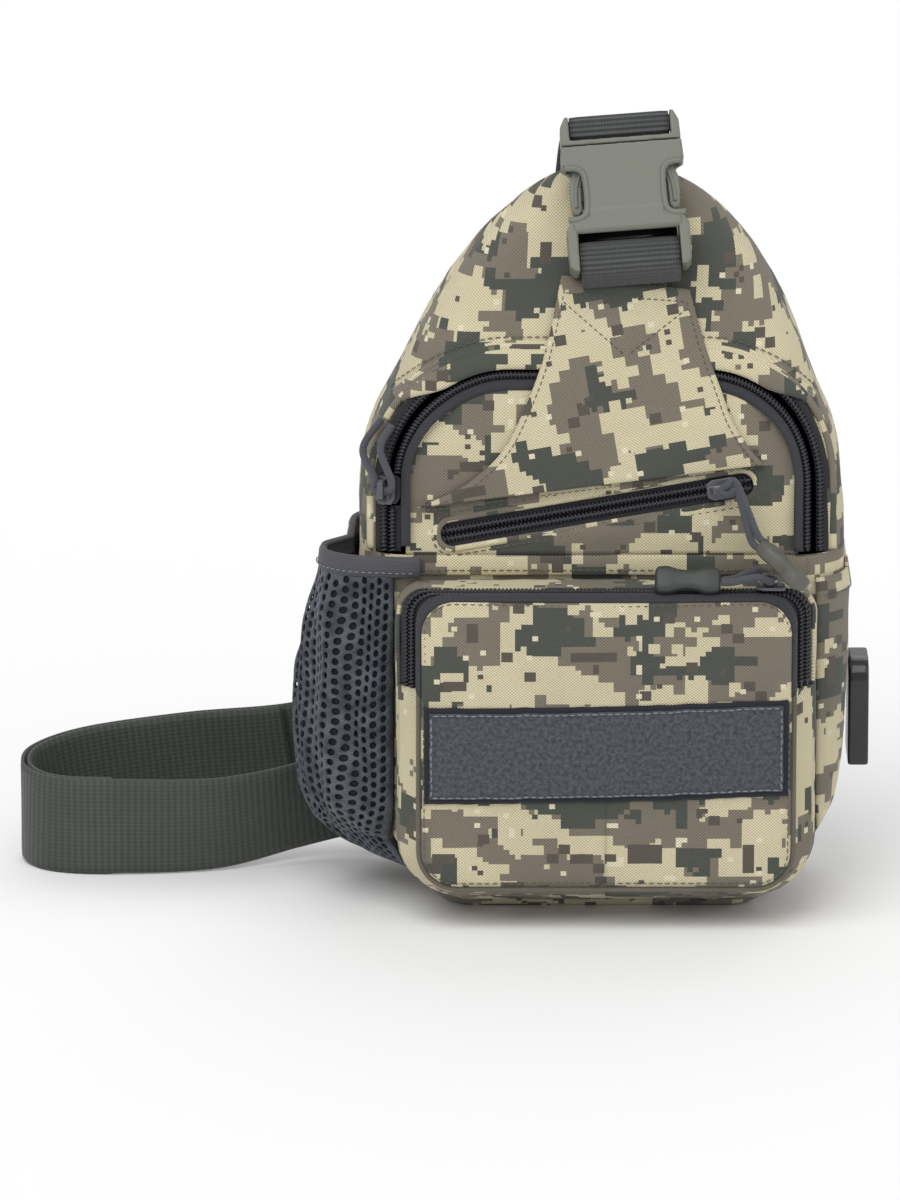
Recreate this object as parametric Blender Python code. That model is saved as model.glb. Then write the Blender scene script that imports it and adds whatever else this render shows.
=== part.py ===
"""One-shoulder sling bag: a tall rounded fabric body with a zipped front flap, a smaller zipped front
pocket, a mesh bottle pocket, a charging-socket housing, a side-release buckle and a webbing strap.

Lengths below are in millimetres. The origin is the centre of the flat underside, +Z is up, the bag's
front faces -Y, and +X is to the right of someone looking at the front.
"""

import math

import bmesh
import bpy
from mathutils import Matrix, Vector

MM = 0.001

# ---- body -------------------------------------------------------------------------------------
# Each station is height, half width, front line and back line of the body's rounded outline.
BODY_STATIONS = [
    (0.0, 58.0, -30.0, 32.0),
    (3.0, 62.0, -34.5, 35.5),
    (7.0, 66.0, -37.0, 37.2),
    (15.0, 72.0, -38.0, 38.0),
    (29.0, 80.5, -38.0, 38.0),
    (45.0, 88.0, -38.0, 38.0),
    (64.0, 91.0, -38.0, 38.0),
    (98.0, 92.5, -38.0, 38.0),
    (135.0, 93.0, -38.0, 38.0),
    (152.0, 93.0, -35.3, 38.0),
    (170.0, 92.0, -32.3, 38.0),
    (186.0, 88.0, -29.2, 38.0),
    (202.0, 80.5, -25.6, 38.0),
    (217.0, 74.0, -21.5, 38.0),
    (232.0, 66.5, -16.3, 37.6),
    (246.0, 58.5, -10.6, 37.0),
    (257.0, 50.0, -4.6, 36.2),
    (266.0, 41.0, 1.2, 35.0),
    (273.0, 32.0, 7.0, 33.4),
    (279.0, 20.0, 13.0, 31.0),
    (282.0, 10.0, 17.0, 28.0),
]
CORNER_RADIUS = 18.0
LOW_CORNER_RADIUS = 10.0
FABRIC = 2.2
FLOOR = 3.2
TOP_LEAN = 5.0
LEAN_FROM = 168.0
LEAN_OVER = 110.0
SIDE_FRONT = 12.0

# ---- main zip and flap ------------------------------------------------------------------------
ARCH_HALF_WIDTH = 82.0
ARCH_TOP = 213.0
ARCH_RADIUS = 45.0
FLAP_HINGE_Z = 142.0
FLAP_HINGE_Y = -38.4
ZIP_FOOT_Z = 143.0
BODY_EDGE = 5.0
FLAP_EDGE = -7.0
FLAP_THICK = 2.2
SLIDER_Z = 166.0
SLIDER_HALF_LENGTH = 5.5

# ---- zip sections -----------------------------------------------------------------------------
TAPE_DEPTH = 1.2
TAPE_HALF = 0.4
COIL_TOP = 1.9
COIL_WIDTH = 1.5
COIL_GAP = 0.6

# ---- diagonal zip -----------------------------------------------------------------------------
DIAG_ANGLE = math.radians(9.5)
DIAG_LEFT = (-62.0, 148.9)
DIAG_LENGTH = 122.0
DIAG_SLOT = 10.0
DIAG_SLIDER_AT = 109.0

# ---- triangle panel ---------------------------------------------------------------------------
TRIANGLE_TOP_Z = 242.5
TRIANGLE_TOP_X = 9.0
TRIANGLE_TOP_HALF = 24.5
TRIANGLE_SLOPE = -0.10

# ---- front pocket -----------------------------------------------------------------------------
# Each station is depth, half width, underside, top, upper and lower corner radius of the pocket.
POCKET_STATIONS = [
    (-38.4, 79.0, 5.0, 132.6, 12.0, 30.0),
    (-46.0, 77.5, 8.0, 132.8, 9.5, 27.0),
    (-53.0, 75.6, 11.0, 132.8, 7.0, 23.0),
    (-57.5, 74.6, 13.0, 132.6, 5.6, 20.0),
    (-62.0, 73.0, 15.4, 132.0, 5.6, 17.0),
    (-65.2, 70.8, 17.8, 131.2, 5.4, 14.0),
    (-66.5, 69.0, 19.8, 129.6, 5.0, 12.0),
]
POCKET_X = 1.5
POCKET_WALL = 1.8
POCKET_FOLD_Z = 95.0
POCKET_ZIP_Y = -57.5
POCKET_ZIP_HALF = 4.5
FRONT_SLIDER_X = 64.0
PATCH_SIZE = (136.0, 38.0, 2.0)
PATCH_Z = 72.0

# ---- side pockets -----------------------------------------------------------------------------
MESH_TOP = 134.0
MESH_BOTTOM = 16.0
BINDING_TOP = 141.8
MESH_BULGE = 27.0
MESH_THICK = 1.6
MESH_FROM_X = 79.2
MESH_TO = 0.85
BINDING_FROM_X = 69.5
RIGHT_FROM_X = 81.6
SIDE_POCKET_TOP = 133.0

# ---- charging socket --------------------------------------------------------------------------
USB_X = (95.9, 103.9)
USB_Y = (-9.0, 19.0)
USB_Z = (50.0, 92.0)

# ---- buckle -----------------------------------------------------------------------------------
WEBBING = 38.0
BUCKLE_FOOT = (11.0, -20.5, 249.5)
BUCKLE_TILT = math.radians(4.5)
BUCKLE_LEAN = math.radians(27.0)
SHELL_HALF = 23.5
SHELL_TOP = 49.0
SHELL_DEPTH = 6.2
BAR_LOW = (4.0, 9.0)
BAR_HIGH = (54.5, 59.5)
BUCKLE_TOP = 61.0

# ---- strap ------------------------------------------------------------------------------------
STRAP_THICK = 1.6
CORD_RADIUS = 1.3


# ---- materials --------------------------------------------------------------------------------
def make_material(name, colour, roughness, metallic=0.0):
    material = bpy.data.materials.new(name)
    material.use_nodes = True
    shader = material.node_tree.nodes["Principled BSDF"]
    shader.inputs["Base Color"].default_value = (*colour, 1.0)
    shader.inputs["Roughness"].default_value = roughness
    shader.inputs["Metallic"].default_value = metallic
    material.diffuse_color = (*colour, 1.0)
    return material


COLOURS = {
    "camo_fabric": ((0.36, 0.33, 0.25), 0.85, 0.0),
    "lining": ((0.05, 0.05, 0.055), 0.9, 0.0),
    "grey_binding": ((0.075, 0.077, 0.1), 0.85, 0.0),
    "mesh": ((0.05, 0.065, 0.095), 0.8, 0.0),
    "zip": ((0.035, 0.035, 0.04), 0.6, 0.0),
    "slider_metal": ((0.2, 0.2, 0.21), 0.4, 1.0),
    "cord": ((0.13, 0.14, 0.17), 0.85, 0.0),
    "grip": ((0.055, 0.058, 0.05), 0.5, 0.0),
    "buckle": ((0.16, 0.165, 0.14), 0.45, 0.0),
    "webbing": ((0.045, 0.05, 0.046), 0.85, 0.0),
    "loop_tape": ((0.12, 0.13, 0.155), 0.95, 0.0),
    "black_plastic": ((0.012, 0.012, 0.013), 0.35, 0.0),
    "socket_metal": ((0.5, 0.5, 0.52), 0.3, 1.0),
}


# ---- solids -----------------------------------------------------------------------------------
def add_solid(name, points, faces, slot, origin=(0.0, 0.0, 0.0)):
    """A closed mesh object with the given points, its own origin and its own material."""
    centre = Vector(origin)
    mesh = bpy.data.meshes.new(name)
    mesh.from_pydata([(Vector(p) - centre) * MM for p in points], [], faces)
    work = bmesh.new()
    work.from_mesh(mesh)
    bmesh.ops.remove_doubles(work, verts=work.verts, dist=1e-7)
    bmesh.ops.recalc_face_normals(work, faces=work.faces)
    work.to_mesh(mesh)
    work.free()
    solid = bpy.data.objects.new(name, mesh)
    solid.location = centre * MM
    bpy.context.scene.collection.objects.link(solid)
    colour, roughness, metallic = COLOURS[slot]
    mesh.materials.append(make_material(f"{slot}.{name}", colour, roughness, metallic))
    return solid


def tube_faces(rings, count):
    """Quads between successive rings of `count` points, with a cap at each end."""
    faces = []
    for i in range(rings - 1):
        for j in range(count):
            a = i * count + j
            b = i * count + (j + 1) % count
            faces.append((a, b, b + count, a + count))
    faces.append(tuple(range(count)))
    last = (rings - 1) * count
    faces.append(tuple(last + j for j in reversed(range(count))))
    return faces


def loft(rings):
    points = [p for ring in rings for p in ring]
    return points, tube_faces(len(rings), len(rings[0]))


def box(low, high):
    corners = []
    for z in (low[2], high[2]):
        corners.append((low[0], low[1], z))
        corners.append((high[0], low[1], z))
        corners.append((high[0], high[1], z))
        corners.append((low[0], high[1], z))
    return corners, tube_faces(2, 4)


def prism(outline, place, low, high):
    """A flat outline of (p, q) pairs, extruded from low to high; place(p, q, r) gives a point."""
    rings = []
    for level in (low, high):
        rings.append([place(p, q, level) for p, q in outline])
    return loft(rings)


def sheet(grid_out, grid_in):
    """A closed slab between two grids of points, which are lists of rows of equal length."""
    rows = len(grid_out)
    columns = len(grid_out[0])
    points = [p for row in grid_out for p in row] + [p for row in grid_in for p in row]
    inner = rows * columns
    faces = []
    for i in range(rows - 1):
        for j in range(columns - 1):
            a = i * columns + j
            faces.append((a, a + 1, a + columns + 1, a + columns))
            faces.append((inner + a, inner + a + columns, inner + a + columns + 1, inner + a + 1))
    rim = [j for j in range(columns)]
    rim += [i * columns + columns - 1 for i in range(1, rows)]
    rim += [(rows - 1) * columns + j for j in reversed(range(columns - 1))]
    rim += [i * columns for i in reversed(range(1, rows - 1))]
    for k, a in enumerate(rim):
        b = rim[(k + 1) % len(rim)]
        faces.append((a, b, inner + b, inner + a))
    return points, faces


def sweep(frames, section):
    """Carries a closed section of (s, n) pairs along frames of (centre, s direction, n direction)."""
    rings = []
    for centre, across, outward in frames:
        rings.append([centre + across * s + outward * n for s, n in section])
    return loft(rings)


def circle(radius, count=8):
    turns = [2 * math.pi * (k + 0.5) / count for k in range(count)]
    return [(radius * math.cos(t), radius * math.sin(t)) for t in turns]


def path_frames(points, first_side):
    """Frames along a smooth path that turn as little as possible from one point to the next."""
    frames = []
    side = Vector(first_side)
    for i, point in enumerate(points):
        before = Vector(points[max(i - 1, 0)])
        after = Vector(points[min(i + 1, len(points) - 1)])
        along = (after - before).normalized()
        side = (side - along * side.dot(along)).normalized()
        frames.append((Vector(point), side.copy(), along.cross(side)))
    return frames


def smooth_path(stations, steps):
    """Points of a smooth curve through the stations."""
    knots = [Vector(p) for p in stations]
    knots = [knots[0] * 2 - knots[1]] + knots + [knots[-1] * 2 - knots[-2]]
    points = []
    for i in range(1, len(knots) - 2):
        a, b, c, d = knots[i - 1], knots[i], knots[i + 1], knots[i + 2]
        for k in range(steps):
            t = k / steps
            curve = b * 2 + (c - a) * t
            curve = curve + (a * 2 - b * 5 + c * 4 - d) * t * t
            curve = curve + (b * 3 - a - c * 3 + d) * t * t * t
            points.append(curve * 0.5)
    points.append(knots[-2])
    return points


def combine(solid, other, operation):
    """Joins the other solid to this one, cuts it away, or keeps what both share; the other goes."""
    modifier = solid.modifiers.new("combine", "BOOLEAN")
    modifier.operation = operation
    modifier.solver = "EXACT"
    modifier.object = other
    bpy.context.view_layer.update()
    graph = bpy.context.evaluated_depsgraph_get()
    result = bpy.data.meshes.new_from_object(solid.evaluated_get(graph))
    solid.modifiers.clear()
    old = solid.data
    own = old.materials[0]
    solid.data = result
    result.materials.clear()
    result.materials.append(own)
    result.polygons.foreach_set("material_index", [0] * len(result.polygons))
    result.name = solid.name
    bpy.data.meshes.remove(old)
    bpy.data.objects.remove(other)
    tidy = bmesh.new()
    tidy.from_mesh(result)
    bmesh.ops.remove_doubles(tidy, verts=tidy.verts, dist=2e-6)
    bmesh.ops.dissolve_degenerate(tidy, edges=tidy.edges, dist=2e-6)
    bmesh.ops.triangulate(tidy, faces=tidy.faces)
    tidy.to_mesh(result)
    tidy.free()
    return solid


def helper(points, faces):
    return add_solid("helper", points, faces, "lining")


# ---- the body's surface -----------------------------------------------------------------------
def between(stations, at):
    """Smooth interpolation of a list of (key, values...) rows, without overshoot."""
    if stations[0][0] > stations[-1][0]:
        stations = stations[::-1]
    if at <= stations[0][0]:
        return stations[0][1:]
    if at >= stations[-1][0]:
        return stations[-1][1:]
    i = max(k for k in range(len(stations) - 1) if stations[k][0] <= at)
    low, high = stations[i], stations[i + 1]
    span = high[0] - low[0]
    t = (at - low[0]) / span
    values = []
    for k in range(1, len(low)):
        step = (high[k] - low[k]) / span

        def slope(j):
            if j <= 0 or j >= len(stations) - 1:
                return step
            left = (stations[j][k] - stations[j - 1][k]) / (stations[j][0] - stations[j - 1][0])
            right = (stations[j + 1][k] - stations[j][k]) / (stations[j + 1][0] - stations[j][0])
            if left * right <= 0:
                return 0.0
            return 2 * left * right / (left + right)

        m0, m1 = slope(i) * span, slope(i + 1) * span
        t2, t3 = t * t, t * t * t
        value = (2 * t3 - 3 * t2 + 1) * low[k] + (t3 - 2 * t2 + t) * m0
        value += (3 * t2 - 2 * t3) * high[k] + (t3 - t2) * m1
        values.append(value)
    return tuple(values)


def lean(z):
    t = min(max((z - LEAN_FROM) / LEAN_OVER, 0.0), 1.0)
    return TOP_LEAN * t * t * (3 - 2 * t)


def corner(half, depth, z):
    """Radius of the body's upright corners, which is smaller near the base."""
    t = min(max((z - 20.0) / 70.0, 0.0), 1.0)
    radius = LOW_CORNER_RADIUS + (CORNER_RADIUS - LOW_CORNER_RADIUS) * t * t * (3 - 2 * t)
    return min(radius, half * 0.9, depth * 0.49)


def body_ring(z, inset):
    """Outline of the body at one height, counter-clockwise from above, moved inwards by inset."""
    half, front, back = between(BODY_STATIONS, z)
    radius = corner(half, back - front, z)
    half, front, back = half - inset, front + inset, back - inset
    radius = max(radius - inset, 0.6)
    shift = lean(z)
    middle = half - radius
    ring = []
    for cx, cy, start in (
        (middle, front + radius, -90),
        (middle, back - radius, 0),
        (-middle, back - radius, 90),
        (-middle, front + radius, 180),
    ):
        for k in range(5):
            turn = math.radians(start + 22.5 * k)
            ring.append((shift + cx + radius * math.cos(turn), cy + radius * math.sin(turn), z))
    for k in (1, 2, 3):
        ring.append((shift - middle + middle * 0.5 * k, front, z))
    return ring


def front_y(x, z):
    """The body's front surface."""
    half, front, back = between(BODY_STATIONS, z)
    radius = corner(half, back - front, z)
    past = abs(x - lean(z)) - (half - radius)
    if past <= 0:
        return front
    past = min(past, radius * 0.999)
    return front + radius - math.sqrt(radius * radius - past * past)


def front_point(x, z, out=0.0):
    """A point at a distance outside the body's front surface."""
    step = 0.5
    dy_dx = (front_y(x + step, z) - front_y(x - step, z)) / (2 * step)
    dy_dz = (front_y(x, z + step) - front_y(x, z - step)) / (2 * step)
    normal = Vector((dy_dx, -1.0, dy_dz)).normalized()
    return Vector((x, front_y(x, z), z)) + normal * out


def front_normal(x, z):
    return (front_point(x, z, 1.0) - front_point(x, z, 0.0)).normalized()


def side_turn(x, z):
    """The share of the way round the side at which the body's front corner reaches x."""
    half, front, back = between(BODY_STATIONS, z)
    radius = corner(half, back - front, z)
    total = SIDE_FRONT + math.pi * radius + (back - front) - 2 * radius
    sine = min(max((x - half + radius) / radius, -1.0), 1.0)
    return (SIDE_FRONT + radius * math.asin(sine)) / total


def side_point(turn, z, out, sign):
    """A point outside the body's side; turn 0 is the front, 1 the back, in steps round the side."""
    half, front, back = between(BODY_STATIONS, z)
    radius = corner(half, back - front, z)
    flat_front = SIDE_FRONT
    arc = radius * math.pi / 2
    flat_side = (back - front) - 2 * radius
    total = flat_front + 2 * arc + flat_side
    s = turn * total
    if s < flat_front:
        x, y = half - radius - flat_front + s, front
        normal = (0.0, -1.0)
    elif s < flat_front + arc:
        a = (s - flat_front) / radius
        x, y = half - radius + radius * math.sin(a), front + radius - radius * math.cos(a)
        normal = (math.sin(a), -math.cos(a))
    elif s < flat_front + arc + flat_side:
        x, y = half, front + radius + (s - flat_front - arc)
        normal = (1.0, 0.0)
    else:
        a = (s - flat_front - arc - flat_side) / radius
        x, y = half - radius + radius * math.cos(a), back - radius + radius * math.sin(a)
        normal = (math.cos(a), math.sin(a))
    return Vector((sign * (x + normal[0] * out) + lean(z), y + normal[1] * out, z))


# ---- the arch of the main zip -----------------------------------------------------------------
def arch_path(offset, foot=FLAP_HINGE_Z, legs=4, bends=7, tops=5):
    """Points (x, z, direction out) along the arch, from the left leg's foot to the right leg's."""
    spring = ARCH_TOP - ARCH_RADIUS
    middle = ARCH_HALF_WIDTH - ARCH_RADIUS
    path = []
    for k in range(legs):
        path.append((-ARCH_HALF_WIDTH, foot + (spring - foot) * k / legs, (-1.0, 0.0)))
    for k in range(bends):
        turn = math.radians(180 - 90 * k / bends)
        out = (math.cos(turn), math.sin(turn))
        path.append((-middle + ARCH_RADIUS * out[0], spring + ARCH_RADIUS * out[1], out))
    for k in range(tops):
        path.append((-middle + 2 * middle * k / tops, ARCH_TOP, (0.0, 1.0)))
    for k in range(bends):
        turn = math.radians(90 - 90 * k / bends)
        out = (math.cos(turn), math.sin(turn))
        path.append((middle + ARCH_RADIUS * out[0], spring + ARCH_RADIUS * out[1], out))
    for k in range(legs + 1):
        path.append((ARCH_HALF_WIDTH, spring + (foot - spring) * k / legs, (1.0, 0.0)))
    return [(x + o[0] * offset + lean(z), z + o[1] * offset, o) for x, z, o in path]


def arch_frames(path):
    frames = []
    for x, z, out in path:
        centre = front_point(x, z, -TAPE_DEPTH)
        normal = front_normal(x, z)
        across = Vector((out[0], 0.0, out[1]))
        across = (across - normal * across.dot(normal)).normalized()
        frames.append((centre, across, normal))
    return frames


def zip_half(edge, coil):
    """Section of one side of a zip: a tape from edge to coil with the coil's ridge at its end."""
    turn = 1.0 if coil > edge else -1.0
    inner = coil - turn * COIL_WIDTH
    return [
        (edge, -TAPE_HALF),
        (coil, -TAPE_HALF),
        (coil, COIL_TOP),
        (inner, COIL_TOP),
        (inner, TAPE_HALF),
        (edge, TAPE_HALF),
    ]


def flap_rows(offset, low_z):
    """Rows of x limits and heights inside the arch, moved inwards by offset."""
    spring = ARCH_TOP - ARCH_RADIUS
    middle = ARCH_HALF_WIDTH - ARCH_RADIUS
    radius = ARCH_RADIUS + offset
    rows = []
    for k in range(6):
        rows.append((low_z + (spring - low_z) * k / 6, ARCH_HALF_WIDTH + offset))
    for k in range(8):
        turn = math.radians(90 * k / 7)
        rows.append((spring + radius * math.sin(turn), middle + radius * math.cos(turn)))
    return rows


def flap_slab(offset, low_z, out_high, out_low, columns=13):
    grids = []
    for out in (out_high, out_low):
        grid = []
        for z, half in flap_rows(offset, low_z):
            row = []
            for k in range(columns):
                x = lean(z) - half + 2 * half * k / (columns - 1)
                row.append(front_point(x, z, out))
            grid.append(row)
        grids.append(grid)
    return sheet(*grids)


# ---- start from an empty scene ----------------------------------------------------------------
for thing in list(bpy.data.objects):
    bpy.data.objects.remove(thing)
scene = bpy.context.scene
scene.unit_settings.system = "METRIC"


# ---- body shell -------------------------------------------------------------------------------
def build_body():
    heights = [row[0] for row in BODY_STATIONS]
    outer = [body_ring(z, 0.0) for z in heights]
    shell = add_solid("body_shell", *loft(outer), "camo_fabric")
    inside = [FLOOR] + [z for z in heights if 7.0 <= z <= 273.0] + [278.0]
    cavity = helper(*loft([body_ring(z, FABRIC) for z in inside]))
    combine(shell, cavity, "DIFFERENCE")
    outline = [(x, z) for x, z, _ in arch_path(BODY_EDGE)]

    def place(p, q, r):
        return (p, r, q)

    mouth = helper(*prism(outline, place, -60.0, -10.0))
    combine(shell, mouth, "DIFFERENCE")


def build_back_pads():
    """Two padded panels sewn to the back, for the wearer's side."""
    for name, low, high, inset in (
        ("back_pad_lower", 16.0, 128.0, 12.0),
        ("back_pad_upper", 134.0, 256.0, 12.0),
    ):
        front = []
        back = []
        for i in range(9):
            z = low + (high - low) * i / 8
            half, _, back_line = between(BODY_STATIONS, z)
            width = half - inset
            thick = 5.0 - 2.6 * (abs(i - 4) / 4) ** 4
            row_front = []
            row_back = []
            for k in range(9):
                side = -1 + 2 * k / 8
                x = lean(z) + width * side
                swell = thick - 2.2 * abs(side) ** 6
                row_front.append((x, back_line + 0.4, z))
                row_back.append((x, back_line + 0.4 + swell, z))
            front.append(row_front)
            back.append(row_back)
        add_solid(name, *sheet(front, back), "grey_binding")


def build_inner_sleeve():
    """An open-topped sleeve on the inside of the back, which holds a battery pack."""
    low = (-42.0, 20.0, 12.0)
    high = (42.0, 35.0, 118.0)
    sleeve = add_solid("inner_sleeve", *box(low, high), "lining")
    hollow_low = (low[0] + 1.2, low[1] + 1.2, low[2] + 1.2)
    hollow_high = (high[0] - 1.2, high[1] - 1.2, high[2] + 5.0)
    combine(sleeve, helper(*box(hollow_low, hollow_high)), "DIFFERENCE")


# ---- main zip, flap and what is sewn to it ----------------------------------------------------
def build_main_zip():
    body_half = zip_half(BODY_EDGE - 0.3, COIL_GAP)
    frames = arch_frames(arch_path(0.0, ZIP_FOOT_Z))
    add_solid("main_zip_body_half", *sweep(frames, body_half), "zip")
    closed = []
    for k in range(4):
        z = ZIP_FOOT_Z + (SLIDER_Z - SLIDER_HALF_LENGTH - 0.5 - ZIP_FOOT_Z) * k / 3
        closed.append((-ARCH_HALF_WIDTH, z, (-1.0, 0.0)))
    closed_half = zip_half(-4.6, -COIL_GAP)
    add_solid("main_zip_closed_half", *sweep(arch_frames(closed), closed_half), "zip")
    start = SLIDER_Z + SLIDER_HALF_LENGTH + 1.5
    open_path = [p for p in arch_path(0.0, ZIP_FOOT_Z) if not (p[0] < 0 and p[1] < start)]
    flap_half = zip_half(FLAP_EDGE + 0.3, -2.4)
    origin = (0.0, FLAP_HINGE_Y, FLAP_HINGE_Z)
    solid = sweep(arch_frames(open_path), flap_half)
    add_solid("main_zip_flap_half", *solid, "zip", origin)


def diag_point(along, across=0.0):
    """(x, z) of a point on the diagonal zip's line."""
    x = DIAG_LEFT[0] + along * math.cos(DIAG_ANGLE) - across * math.sin(DIAG_ANGLE)
    z = DIAG_LEFT[1] + along * math.sin(DIAG_ANGLE) + across * math.cos(DIAG_ANGLE)
    return x, z


def build_flap():
    origin = (0.0, FLAP_HINGE_Y, FLAP_HINGE_Z)
    slab = flap_slab(FLAP_EDGE, FLAP_HINGE_Z + 0.4, 0.0, -FLAP_THICK)
    flap = add_solid("main_flap", *slab, "camo_fabric", origin)
    half = DIAG_SLOT / 2
    outline = []
    for k in range(7):
        turn = math.radians(90 + 180 * k / 6)
        outline.append((half + half * math.cos(turn), half * math.sin(turn)))
    for k in range(7):
        turn = math.radians(-90 + 180 * k / 6)
        outline.append((DIAG_LENGTH - half + half * math.cos(turn), half * math.sin(turn)))

    def place(p, q, r):
        x, z = diag_point(p, q)
        return (x, r, z)

    combine(flap, helper(*prism(outline, place, -60.0, -10.0)), "DIFFERENCE")
    for name, side in (("diag_zip_upper_half", 1.0), ("diag_zip_lower_half", -1.0)):
        frames = []
        for k in range(9):
            along = 2.6 + (DIAG_LENGTH - 5.2) * k / 8
            x, z = diag_point(along)
            normal = front_normal(x, z)
            across = Vector((-math.sin(DIAG_ANGLE), 0.0, math.cos(DIAG_ANGLE)))
            across = (across - normal * across.dot(normal)).normalized()
            frames.append((front_point(x, z, -TAPE_DEPTH), across, normal))
        section = zip_half(side * (half - 1.6), side * COIL_GAP)
        add_solid(name, *sweep(frames, section), "zip", origin)
    lining = flap_slab(FLAP_EDGE - 2.5, FLAP_HINGE_Z + 2.6, -FLAP_THICK - 0.4, -FLAP_THICK - 4.4)
    pocket = add_solid("diag_pocket_lining", *lining, "lining", origin)
    hollow = flap_slab(FLAP_EDGE - 4.5, FLAP_HINGE_Z + 4.2, -1.0, -FLAP_THICK - 3.6)
    combine(pocket, helper(*hollow), "DIFFERENCE")


def build_triangle():
    """The reinforcing panel that carries the buckle's webbing, sewn to the flap below it."""
    left = [(-70.5, 160.0), (-53.0, 168.0), (-39.0, 180.0), (-30.5, 195.0), (-22.0, 217.0)]
    right = [(62.0, 176.0), (56.5, 182.0), (50.0, 192.0), (45.0, 205.0), (39.0, 221.0)]
    top_left = (TRIANGLE_TOP_X - TRIANGLE_TOP_HALF, TRIANGLE_TOP_Z - TRIANGLE_SLOPE * 24.5)
    top_right = (TRIANGLE_TOP_X + TRIANGLE_TOP_HALF, TRIANGLE_TOP_Z + TRIANGLE_SLOPE * 24.5)
    left.append(top_left)
    right.append(top_right)
    low = 1.6
    grids = []
    for out in (low + 1.4, low):
        grid = []
        for (x0, z0), (x1, z1) in zip(left, right):
            row = []
            for k in range(10):
                t = k / 9
                row.append(front_point(x0 + (x1 - x0) * t, z0 + (z1 - z0) * t, out))
            grid.append(row)
        grids.append(grid)
    origin = (0.0, FLAP_HINGE_Y, FLAP_HINGE_Z)
    add_solid("triangle_panel", *sheet(*grids), "camo_fabric", origin)


# ---- sliders and pulls ------------------------------------------------------------------------
def local_box(frame, low, high):
    centre, along, across, outward = frame
    points = []
    for n in (low[2], high[2]):
        for t, s in ((low[0], low[1]), (high[0], low[1]), (high[0], high[1]), (low[0], high[1])):
            points.append(centre + along * t + across * s + outward * n)
    return points, tube_faces(2, 4)


def build_slider(name, frame):
    """A zip slider: two plates, the wedge between the zip's halves, and the bridge on top."""
    centre, along, across, outward = frame
    half = SLIDER_HALF_LENGTH
    outline = [(-half, -2.6), (-half + 2.4, -4.0), (half - 1.0, -4.0), (half, -3.0)]
    outline += [(half, 3.0), (half - 1.0, 4.0), (-half + 2.4, 4.0), (-half, 2.6)]

    def place(p, q, r):
        return centre + along * p + across * q + outward * r

    slider = add_solid(name, *prism(outline, place, 2.5, 3.8), "slider_metal", tuple(centre))
    combine(slider, helper(*prism(outline, place, -2.3, -1.0)), "UNION")
    wedge = local_box(frame, (-2.0, -0.35, -2.2), (4.6, 0.35, 2.6))
    combine(slider, helper(*wedge), "UNION")
    bridge = [(-4.2, 3.5), (-4.2, 7.0), (-3.0, 8.6), (3.0, 8.6), (4.2, 7.0), (4.2, 3.5)]

    def place_side(p, q, r):
        return centre + along * p + across * r + outward * q

    combine(slider, helper(*prism(bridge, place_side, -1.2, 1.2)), "UNION")
    eye = [(-2.7, 4.1), (-2.7, 6.6), (-2.0, 7.4), (2.0, 7.4), (2.7, 6.6), (2.7, 4.1)]
    combine(slider, helper(*prism(eye, place_side, -3.0, 3.0)), "DIFFERENCE")


def bridge_eye(frame):
    return frame[0] + frame[3] * 5.75


def cord_tube(name, stations, first_side, origin, steps=4):
    points = smooth_path(stations, steps)
    solid = sweep(path_frames(points, first_side), circle(CORD_RADIUS, 8))
    return add_solid(name, *solid, "cord", origin)


def build_grip(name, start, direction, flat, origin):
    """A moulded grip, wide at both ends and narrow in the middle, flat across the `flat` vector."""
    along = Vector(direction).normalized()
    thin = Vector(flat)
    thin = (thin - along * thin.dot(along)).normalized()
    wide = along.cross(thin)
    stations = [(0.0, 3.6, 2.6), (1.0, 4.9, 3.1), (5.5, 5.4, 3.3), (11.0, 3.9, 3.0)]
    stations += [(15.0, 4.0, 3.0), (20.5, 5.6, 3.3), (24.0, 5.2, 3.1), (25.0, 4.0, 2.5)]
    rings = []
    for at, half_wide, half_thin in stations:
        ring = []
        for k in range(10):
            turn = 2 * math.pi * k / 10
            c, s = math.cos(turn), math.sin(turn)
            p = half_wide * math.copysign(abs(c) ** 0.6, c)
            q = half_thin * math.copysign(abs(s) ** 0.6, s)
            ring.append(Vector(start) + along * at + wide * p + thin * q)
        rings.append(ring)
    return add_solid(name, *loft(rings), "grip", origin)


def main_slider_frame():
    x, z = -ARCH_HALF_WIDTH, SLIDER_Z
    above = front_point(x, z + 4, -TAPE_DEPTH)
    below = front_point(x, z - 12, -TAPE_DEPTH)
    along = (above - below).normalized()
    normal = front_normal(x, z)
    normal = (normal - along * normal.dot(along)).normalized()
    across = along.cross(normal) * -1.0
    return front_point(x, z, -TAPE_DEPTH), along, across, normal


def diag_slider_frame():
    x, z = diag_point(DIAG_SLIDER_AT)
    start = front_point(*diag_point(4.0), -TAPE_DEPTH)
    end = front_point(*diag_point(DIAG_SLIDER_AT), -TAPE_DEPTH)
    along = (end - start).normalized()
    normal = front_normal(*diag_point(60.0))
    normal = (normal - along * normal.dot(along)).normalized()
    return end, along, normal.cross(along), normal


def front_slider_frame():
    _, _, top, _, _ = between(POCKET_STATIONS, POCKET_ZIP_Y)
    centre = Vector((FRONT_SLIDER_X, POCKET_ZIP_Y, top - TAPE_DEPTH))
    return centre, Vector((1.0, 0.0, 0.0)), Vector((0.0, 1.0, 0.0)), Vector((0.0, 0.0, 1.0))


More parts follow.
